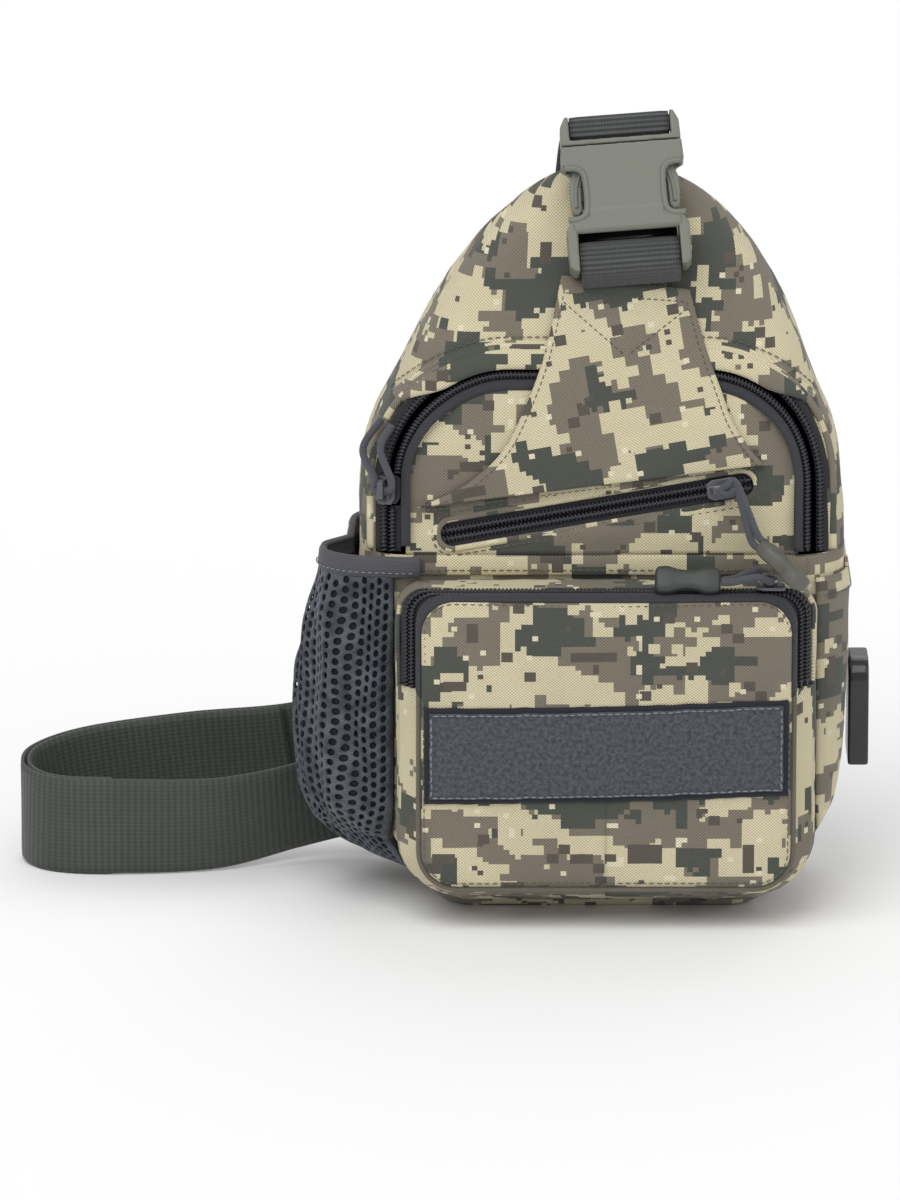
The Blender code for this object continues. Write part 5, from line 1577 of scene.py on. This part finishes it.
def build_mesh_pocket():
    """Spacer mesh: six-sided cells of yarn, each round an oval hole, over a dark backing."""
    columns = 36
    pitch = 1.0 / columns
    tall = int((MESH_TOP - MESH_HEM) / MESH_PITCH)
    pitch_z = (MESH_TOP - MESH_HEM) / tall
    points = []
    faces = []
    uvs = []
    known = {}

    def vertex(s, z):
        s = min(max(s, 0.0), 1.0)
        z = min(max(z, MESH_HEM), MESH_TOP)
        key = (round(s * 1e5), round(z * 1e3))
        if key not in known:
            known[key] = len(points)
            points.append(mesh_point(s, z, MESH_OUT))
            uvs.append((s * MESH_WIDE, z))
        return known[key]

    outer, hole = mesh_cell(pitch / 3, pitch_z / 2)
    for c in range(columns + 1):
        for r in range(-1, tall + 1):
            s0 = c * pitch
            z0 = MESH_HEM + (r + 0.5 + 0.5 * (c % 2)) * pitch_z
            if all(0 <= s0 + a <= 1 and MESH_HEM <= z0 + b <= MESH_TOP for a, b in outer):
                for k in range(12):
                    places = (outer[k], outer[(k + 1) % 12], hole[(k + 1) % 12], hole[k])
                    corners = [vertex(s0 + a, z0 + b) for a, b in places]
                    if len(set(corners)) == 4:
                        faces.append(tuple(corners))
            else:
                corners = []
                for a, b in outer:
                    k = vertex(s0 + a, z0 + b)
                    if k not in corners:
                        corners.append(k)
                across = {round(uvs[k][0], 2) for k in corners}
                upward = {round(uvs[k][1], 2) for k in corners}
                if len(corners) > 2 and len(across) > 1 and len(upward) > 1:
                    faces.append(tuple(corners))
    faces = face_away(points, faces, INSIDE_BAG)
    net = make_object("mesh_net", points, faces, uvs, NET, body="bag_body", slot="mesh")
    thicken(net, 0.9)
    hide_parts("mesh_pocket")

    grid = []
    for i in range(70):
        z = MESH_HEM + (MESH_TOP - MESH_HEM) * i / 69
        grid.append([mesh_point(k / 49, z, 0.0) for k in range(50)])
    uvs = [[(MESH_WIDE * k / 49, row[k][2]) for k in range(50)] for row in grid]
    looks = {"body": "bag_body", "slot": "mesh"}
    cloth_piece("mesh_backing", grid, uvs, NET_BACK, 0.5, INSIDE_BAG, **looks)


def binding_point(share, z, extra):
    first = side_turn(BINDING_FROM_X, z)
    turn = first + (MESH_TO - first) * share
    return side_point(turn, z, mesh_bulge(turn, z) + extra, -1.0)


def build_binding():
    heights = (133.6, 134.2, 135.5, 137.0, 138.5, 140.0, 141.2, 141.8)
    grid = []
    for z in heights:
        edge = 0.9 * ease(min(z - heights[0], heights[-1] - z), 1.4, 0.0)
        row = []
        for k in range(80):
            row.append(binding_point(k / 79, z, 2.5 - edge + 0.3 * ripple((k, z, 0.0), 9.0, 6.0)))
        grid.append(row)
    uvs = [[(z, 1.5 * k) for k in range(80)] for z in heights]
    looks = {"body": "bag_body", "slot": "grey_binding"}
    piece = cloth_piece("binding_tape", grid, uvs, BINDING, 2.4, INSIDE_BAG, **looks)
    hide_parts("mesh_pocket_binding")
    shares = [0.03 + 0.94 * k / 99 for k in range(100)]
    points = [binding_point(share, 135.6, 2.6) for share in shares]
    outs = [p - binding_point(share, 135.6, 0.0) for share, p in zip(shares, points)]
    stitch_line("binding", points, outs, 2.6, 1.7, 0.26)


def build_slip_panel():
    """The flat pocket on the bag's right side, open at its folded top edge."""
    grid = []
    for i in range(58):
        z = 18.0 + (SIDE_POCKET_TOP - 18.0) * i / 57
        first = side_turn(RIGHT_FROM_X, z)
        edge = 0.7 * ease(57 - i, 3.0, 0.0)
        row = []
        for k in range(40):
            turn = first + (0.93 - first) * k / 39
            slack = 0.5 * ripple((turn * 90.0, 0.0, z), 18.0, 14.0) * ease(min(k, 39 - k), 0.0, 4.0)
            row.append(side_point(turn, z, 2.6 + slack - edge, 1.0))
        grid.append(row)
    uvs = [[(k * 2.3 + 60.0, p[2]) for k, p in enumerate(row)] for row in grid]
    piece = cloth_piece("slip_panel", grid, uvs, CAMO, 1.3, INSIDE_BAG, **BAG_CLOTH)
    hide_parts("right_side_pocket")
    z = SIDE_POCKET_TOP - 7.0
    first = side_turn(RIGHT_FROM_X, z)
    turns = [first + 0.02 + (0.91 - first) * k / 39 for k in range(40)]
    points = [side_point(t, z, 2.9, 1.0) for t in turns]
    stitch_line("body", points, [p - side_point(t, z, 0.0, 1.0) for p, t in zip(points, turns)])


# ---- back, sleeve and anchor ---------------------------------------------------------------------------
def build_pads():
    for name, low, high in (("back_pad_lower", 16.0, 128.0), ("back_pad_upper", 134.0, 256.0)):
        rows, columns = 44, 40
        front, back = [], []
        for i in range(rows):
            z = low + (high - low) * i / (rows - 1)
            half, _, back_line, _ = profile(z)
            t = -1 + 2 * i / (rows - 1)
            front_row, back_row = [], []
            for k in range(columns):
                s = -1 + 2 * k / (columns - 1)
                x = lean(z) + (half - 12.0) * s
                swell = 4.6 * (1 - abs(s) ** 5) ** 0.5 * (1 - abs(t) ** 6) ** 0.5
                channel = 0.9 * math.exp(-((abs(s) - 0.42) / 0.05) ** 2)
                front_row.append((x, back_line + 0.4, z))
                back_row.append((x, back_line + 0.6 + max(swell - channel, 0.0), z))
            front.append(front_row)
            back.append(back_row)
        rings = np.concatenate([np.array(front), np.array(back)[:, ::-1]], axis=1)
        points = rings.reshape(-1, 3)
        faces = pillow_faces(rows, 2 * columns)
        uvs = [(p[0], p[2]) for p in points]
        pad = closed_piece(name + "_foam", points, faces, uvs, PAD, body="bag_body", slot="grey_binding")
        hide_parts(name)


def build_sleeve():
    """The open-topped sleeve inside the back."""
    low, high = (-42.0, 20.0, 12.0), (42.0, 35.0, 118.0)
    grid = []
    for i in range(30):
        z = low[2] + (high[2] - low[2]) * i / 29
        row = []
        for x0, y0, x1, y1 in (
            (low[0], low[1], high[0], low[1]),
            (high[0], low[1], high[0], high[1]),
            (high[0], high[1], low[0], high[1]),
            (low[0], high[1], low[0], low[1]),
        ):
            for k in range(12):
                t = k / 12
                x, y = x0 + (x1 - x0) * t, y0 + (y1 - y0) * t
                row.append(Vector((x, y + 0.3 * ripple((x, y, z), 20.0, 1.0), z)))
        grid.append(row)
    uvs = [[(2.4 * k, p.z) for k, p in enumerate(row)] for row in grid]
    looks = {"closed": True, "body": "bag_body", "slot": "lining"}
    piece = cloth_piece("sleeve_cloth", grid, uvs, LINING, 1.0, (0.0, 27.0, 60.0), **looks)
    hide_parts("inner_sleeve")


def band(name, frames, width, thick, material, body, slot, ribs=0.0, pitch=1.8, step=0.45):
    """Webbing along a path, optionally with raised ribs across it."""
    path = Path(frames)
    count = int(path.length / step)
    at = np.linspace(0.0, path.length, count)
    centre, side, out = path.frames(at)
    half = width / 2
    columns = 12
    across = [-half + width * k / columns for k in range(columns + 1)]
    rise = ribs * np.cos(2 * math.pi * at / pitch)
    points, uvs = [], []
    for i in range(count):
        rim = thick / 2 + max(rise[i], -ribs)
        top = [(s, rim * (0.72 if k in (0, columns) else 1.0)) for k, s in enumerate(across)]
        section = top + [(s, -b) for s, b in reversed(top)]
        points += [centre[i] + side[i] * s + out[i] * b for s, b in section]
        uvs += [(at[i], s + half) for s, b in section]
    faces = pillow_faces(count, 2 * (columns + 1))
    piece = closed_piece(name, points, faces, uvs, material, body=body, slot=slot)
    return piece, path.length


# ---- the buckle ----------------------------------------------------------------------------------------
def buckle_axes():
    """The buckle's own directions: right, up along it and back towards the bag."""
    up = Vector((-math.sin(BUCKLE_TILT), 0.0, 0.0))
    rise = math.cos(BUCKLE_TILT)
    up = up + Vector((0.0, math.sin(BUCKLE_LEAN), math.cos(BUCKLE_LEAN))) * rise
    back = Vector((0.0, math.cos(BUCKLE_LEAN), -math.sin(BUCKLE_LEAN)))
    right = back.cross(up).normalized()
    back = up.cross(right).normalized()
    return right, up, back


def buckle_place(u, w, b):
    """A point in the buckle's own directions: across, up along it, and towards the bag."""
    right, up, back = buckle_axes()
    return Vector(BUCKLE_FOOT) + right * u + up * w + back * b


def rounded(name, voxel, smooth, material):
    """A moulded or cast CAD node with its edges rounded."""
    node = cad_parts[name]
    node.data.materials.clear()
    node.data.materials.append(material)
    remesh = node.modifiers.new("voxels", "REMESH")
    remesh.mode = "VOXEL"
    remesh.voxel_size = voxel * MM
    remesh.use_smooth_shade = True
    relax = node.modifiers.new("rounding", "SMOOTH")
    relax.factor = 0.5
    relax.iterations = smooth


def buckle_tube(name, line, radius, body, depth):
    """A raised bead on the buckle's front face along a line of (across, up) pairs."""
    points = smooth_path([buckle_place(u, w, depth) for u, w in line], 6)
    _, _, back = buckle_axes()
    pool = ([], [], [])
    add_tube(points, [back] * len(points), radius, 10, pool)
    closed_piece(name, *pool, PLASTIC, body=body, slot="buckle")


def build_buckle():
    for name in ("buckle_shell", "buckle_insert", "prong_left", "prong_right"):
        rounded(name, 0.42, 5, PLASTIC)
    for name, side in (("left", -1.0), ("right", 1.0)):
        rim = [(22.4, 20.2), (18.4, 20.3), (16.0, 21.6), (14.9, 24.0), (14.6, 30.0)]
        rim += [(14.9, 36.4), (16.0, 39.0), (18.4, 40.3), (22.4, 40.5)]
        buckle_tube(f"window_rim_{name}", [(side * u, w) for u, w in rim], 1.25, "buckle_shell", -5.7)
        ridge = [(15.4, 46.0), (15.8, 41.0), (18.2, 34.0), (18.8, 29.0), (18.9, 25.4)]
        buckle_tube(f"prong_ridge_{name}", [(side * u, w) for u, w in ridge], 0.9, f"prong_{name}", -2.8)
    right = buckle_axes()[0]
    grid = []
    for i in range(26):
        w = 14.6 + 13.4 * i / 25
        half = 14.3 if w > 19.5 else 20.6
        row = []
        for k in range(50):
            u = -half + 2 * half * k / 49
            sink = 1.2 * ease(w, 16.0, 14.6) + 0.9 * ease(w, 23.0, 28.0)
            row.append(buckle_place(u, w, -6.35 + sink))
        grid.append(row)
    looks = {"body": "buckle_shell", "slot": "buckle"}
    behind = tuple(buckle_place(0.0, 16.0, 30.0))
    cloth_piece("shell_apron", grid, front_uvs(grid), PLASTIC, 1.0, behind, **looks)
    # A black plate behind the lower slot, as painted shadow: it stands in for the shade inside the hollow
    # shell.
    grid = [[buckle_place(u, w, 4.6) for u in (-18.9, 0.0, 18.9)] for w in (12.3, 15.0, 18.7)]
    cloth_piece("slot_painted_shadow", grid, front_uvs(grid), BLACK, 0.8, behind, **looks)
    low = [(-3.2, 6.6), (-2.4, 3.0), (-0.2, -1.8), (3.0, -4.3), (6.5, -4.4), (9.6, -3.8), (11.3, -1.6)]
    low += [(11.3, 1.6), (9.6, 3.8), (6.5, 4.4), (3.8, 4.9), (1.6, 6.4)]
    high = [(56.6, 9.0), (53.6, 4.2), (53.2, 1.5), (53.2, -1.5), (54.2, -3.2), (56.0, -3.6), (58.0, -3.6)]
    high += [(59.8, -3.2), (60.8, -1.5), (60.8, 1.5), (60.2, 4.2), (58.4, 9.0)]
    for name, line, body in (("lower_webbing", low, "flap"), ("upper_webbing", high, "buckle_insert")):
        points = smooth_path([buckle_place(0.0, w, b) for w, b in line], 8)
        frames = turning_frames(points, right)
        looks = {"material": BUCKLE_WEB, "body": body, "slot": "webbing"}
        ribs = {"ribs": 0.28, "pitch": 1.85, "step": 0.2}
        piece, length = band(name + "_band", frames, WEBBING, 1.1, **looks, **ribs)
        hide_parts(name)


# ---- the strap -------------------------------------------------------------------------------------------


def strap_frames(out):
    steps = 12
    centres = smooth_path([s[0] for s in STRAP_STATIONS], steps)
    widths = smooth_path([s[1] for s in STRAP_STATIONS], steps)
    frames = []
    for i, centre in enumerate(centres):
        along = direction(centres, i).normalized()
        width = square_to(widths[i].normalized(), along)
        normal = along.cross(width)
        frames.append((centre + normal * out, width, normal))
    return frames


def build_strap():
    for name, node, out, first, last in (
        ("strap_web", "shoulder_strap", 0.0, 0, None),
        ("strap_web_second", "strap_second_layer", 2.5, 48, 120),
    ):
        frames = strap_frames(out)[first:last]
        piece, length = band(name, frames, WEBBING, 1.5, STRAP, "bag_body", "webbing", step=2.0)
        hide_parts(node)
    line = smooth_path([(-85.8, 37.6, 29.0), (-92.5, 38.8, 29.0), (-99.4, 37.1, 28.2)], 8)
    frames = turning_frames(line, (0.0, 0.0, 1.0))
    piece, length = band("strap_tab", frames, 26.0, 1.4, CAMO, "bag_body", "camo_fabric", step=0.8)
    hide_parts("strap_anchor_tab")


# ---- sliders and pulls -------------------------------------------------------------------------------------
def main_slider_frame():
    """The slider's place, then the directions along its zip, across it and outwards."""
    x, z = -ARCH_HALF_WIDTH, SLIDER_Z
    along = (front_point(x, z + 4, -ZIP_DEPTH) - front_point(x, z - 12, -ZIP_DEPTH)).normalized()
    normal = square_to(front_normal(x, z), along)
    return front_point(x, z, -ZIP_DEPTH), along, normal.cross(along), normal


def diag_slider_frame():
    start = front_point(*diag_point(4.0), -ZIP_DEPTH)
    end = front_point(*diag_point(DIAG_SLIDER_AT), -ZIP_DEPTH)
    along = (end - start).normalized()
    normal = square_to(front_normal(*diag_point(60.0)), along)
    return end, along, normal.cross(along), normal


def front_slider_frame():
    top = between(POCKET_STATIONS, POCKET_ZIP_Y)[2]
    centre = Vector((FRONT_SLIDER_X, POCKET_ZIP_Y, top - ZIP_DEPTH))
    return centre, Vector((1.0, 0.0, 0.0)), Vector((0.0, 1.0, 0.0)), Vector((0.0, 0.0, 1.0))


def cord_piece(name, stations, first_side, body):
    """A braided cord, with its centre line and its length in metres."""
    points = smooth_path(stations, 10)
    frames = turning_frames(points, first_side)
    pool = ([], [], [])
    add_tube(points, [f[2] for f in frames], CORD_RADIUS, 14, pool)
    piece = closed_piece(name, *pool, CORD, body=body, slot="cord")
    path = [[c * MM for c in p] for p in points]
    length = sum((b - a).length for a, b in zip(points, points[1:])) * MM
    return piece, path, length


def build_grip(name, start, way, flat, body, material):
    """A moulded grip, wide at both ends and narrow in the middle, flat across the `flat` vector."""
    along = Vector(way).normalized()
    thin = square_to(Vector(flat), along)
    wide = along.cross(thin)
    stations = [(0.0, 2.6, 1.6), (0.35, 3.9, 2.5), (1.2, 4.8, 3.0), (5.5, 5.3, 3.25), (9.0, 4.3, 3.0)]
    stations += [(12.0, 3.9, 2.95), (15.5, 4.2, 3.0), (20.5, 5.5, 3.25), (23.6, 5.3, 3.1)]
    stations += [(24.6, 4.3, 2.5), (GRIP_LENGTH, 2.8, 1.6)]
    around = 28
    rings = []
    for k in range(70):
        at = GRIP_LENGTH * (0.5 - 0.5 * math.cos(math.pi * k / 69))
        half_wide, half_thin = between(stations, at)
        ring = []
        for j in range(around):
            turn = 2 * math.pi * j / around
            c, s = math.cos(turn), math.sin(turn)
            p = half_wide * math.copysign(abs(c) ** 0.62, c)
            q = half_thin * math.copysign(abs(s) ** 0.55, s)
            ring.append(Vector(start) + along * at + wide * p + thin * q)
        rings.append(ring)
    points = [p for ring in rings for p in ring]
    faces = capped_faces(len(rings), around)
    looks = {"body": body, "slot": "grip", "sharp": 50}
    piece = closed_piece(name + "_moulding", points, faces, None, material, **looks)
    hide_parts(name)
    return piece


def build_pulls():
    for name in ("main_slider", "diag_slider", "front_slider"):
        rounded(name, 0.2, 4, METAL)
    main = main_slider_frame()
    _, along, across, outward = main
    eye = main[0] + outward * EYE_HEIGHT
    sides = [eye + across * 3.4 + along * 0.6, eye - across * 3.4 + along * 0.6]
    sides.sort(key=lambda p: p.x)
    stations = [front_point(-81.2, 190.5, 4.4), front_point(-86.2, 179.0, 7.0), sides[0] + along * 4.0]
    stations += [sides[0], eye, sides[1], sides[1] + along * 4.0]
    stations += [front_point(-81.4, 180.5, 6.4), front_point(-78.2, 189.2, 4.4)]
    piece, path, length = cord_piece("main_cord", stations, outward, "main_pull")
    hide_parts("main_pull_cord")

    diag = diag_slider_frame()
    _, along, across, outward = diag
    eye = diag[0] + outward * EYE_HEIGHT
    start = Vector((61.5, -53.5, 149.3))
    way = Vector((13.0, -17.5, -9.8)).normalized()
    grip = build_grip("diag_pull_grip", start, way, (0.0, 0.5, 0.85), "diagonal_pull", GRIP)
    strand = way.cross(outward).normalized() * 1.6
    near = eye + outward * 5.4 + along * 6.0
    if (start + strand - near - across).length > (start - strand - near - across).length:
        strand = -strand
    stations = [start + strand - way * 0.4, start + strand - way * 7.0]
    stations += [near + across * 1.75, eye + outward * 6.25 + along * 2.0 + across * 1.7]
    stations += [eye + outward * 6.3 - along * 0.4]
    stations += [eye + outward * 6.25 + along * 2.0 - across * 1.7, near - across * 1.75]
    stations += [start - strand - way * 7.0, start - strand - way * 0.4]
    piece, path, length = cord_piece("diag_cord", stations, outward, "diagonal_pull")
    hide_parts("diag_pull_cord", "diag_cord_loop")

    front = front_slider_frame()
    eye = front[0] + front[3] * EYE_HEIGHT
    start = Vector((44.8, -60.0, 137.4))
    way = Vector((-1.0, 0.0, 0.02)).normalized()
    grip = build_grip("front_pull_grip", start, way, (0.0, -0.75, 0.65), "front_pull", DARK_GRIP)
    strand = Vector((0.0, 1.6, 0.0))
    stations = [start + strand - way * 0.4, start + Vector((5.0, 2.2, 0.4))]
    stations += [eye + Vector((-5.0, 4.6, 2.4)), eye + Vector((-0.4, 3.6, 0.4)), eye]
    stations += [eye + Vector((-0.4, -3.6, 0.4)), eye + Vector((-5.0, -4.6, 2.4))]
    stations += [start + Vector((5.0, -2.2, 0.4)), start - strand - way * 0.4]
    piece, path, length = cord_piece("front_cord", stations, front[3], "front_pull")
    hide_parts("front_pull_cord")


def build_hard_parts():
    rounded("usb_housing", 0.6, 16, BLACK)
    rounded("strap_adjuster", 0.4, 4, PLASTIC)
    for name, material in (("usb_socket", PLATED), ("usb_tongue", BLACK)):
        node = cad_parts[name]
        node.data.materials.clear()
        node.data.materials.append(material)


# ---- stage, light and camera ---------------------------------------------------------------------------
def aim(thing, target):
    way = Vector(target) - thing.location
    thing.rotation_euler = way.to_track_quat("-Z", "Y").to_euler()


def sun(name, place, power, spread):
    """Soft light from the direction of a place, as from a large window or a soft box far away."""
    light = bpy.data.lights.new(name, "SUN")
    light.energy = power
    light.angle = math.radians(spread)
    lamp = bpy.data.objects.new(name, light)
    bpy.context.scene.collection.objects.link(lamp)
    lamp.location = place
    aim(lamp, (0.0, 0.0, 0.0))


def build_stage():
    scene = bpy.context.scene
    mesh = bpy.data.meshes.new("floor")
    reach = 12.0
    corners = [(-reach, -reach, 0), (reach, -reach, 0), (reach, reach, 0), (-reach, reach, 0)]
    mesh.from_pydata(corners, [], [(0, 1, 2, 3)])
    paper = bpy.data.materials.new("paper")
    paper.use_nodes = True
    shader = paper.node_tree.nodes["Principled BSDF"]
    shader.inputs["Base Color"].default_value = (0.9, 0.9, 0.9, 1.0)
    shader.inputs["Roughness"].default_value = 0.9
    shader.inputs["Specular IOR Level"].default_value = 0.1
    mesh.materials.append(paper)
    floor = bpy.data.objects.new("floor", mesh)
    scene.collection.objects.link(floor)

    world = bpy.data.worlds.new("room")
    world.use_nodes = True
    background = world.node_tree.nodes["Background"]
    background.inputs["Color"].default_value = (1.0, 1.0, 1.0, 1.0)
    background.inputs["Strength"].default_value = 0.55
    scene.world = world
    sun("key", (-0.5, -1.0, 1.6), 1.5, 50.0)
    sun("fill", (1.6, -1.3, 1.0), 0.45, 60.0)
    sun("rim", (0.2, 1.4, 1.6), 0.5, 50.0)

    data = bpy.data.cameras.new("camera")
    data.sensor_fit = "AUTO"
    data.sensor_width = 36.0
    data.lens = 36.0 * CAMERA_DISTANCE / FRAME_HEIGHT
    camera = bpy.data.objects.new("camera", data)
    scene.collection.objects.link(camera)
    back = Vector((0.0, -math.cos(CAMERA_RISE), math.sin(CAMERA_RISE)))
    camera.location = CAMERA_TARGET + back * CAMERA_DISTANCE
    aim(camera, CAMERA_TARGET)
    scene.camera = camera
    scene.view_settings.view_transform = "Standard"
    scene.view_settings.look = "None"


build_stage()
build_pulls()
build_body()
build_main_zip()
build_mouth_lip()
build_flap()
build_panel()
build_hinge_band()
build_gusset()
build_pocket_face()
build_pocket_seam()
build_pocket_zip()
build_patch()
build_mesh_pocket()
build_binding()
build_slip_panel()
build_pads()
build_sleeve()
build_buckle()
build_strap()
build_hard_parts()
for group, material, body, slot in (
    ("body", THREAD, "bag_body", "camo_fabric"),
    ("flap", THREAD, "flap", "camo_fabric"),
    ("panel", THREAD, "flap", "camo_fabric"),
    ("pocket", THREAD, "pocket_flap", "camo_fabric"),
    ("patch", GREY_THREAD, "bag_body", "loop_tape"),
    ("binding", GREY_THREAD, "bag_body", "grey_binding"),
):
    make_stitches(group, material, body, slot)
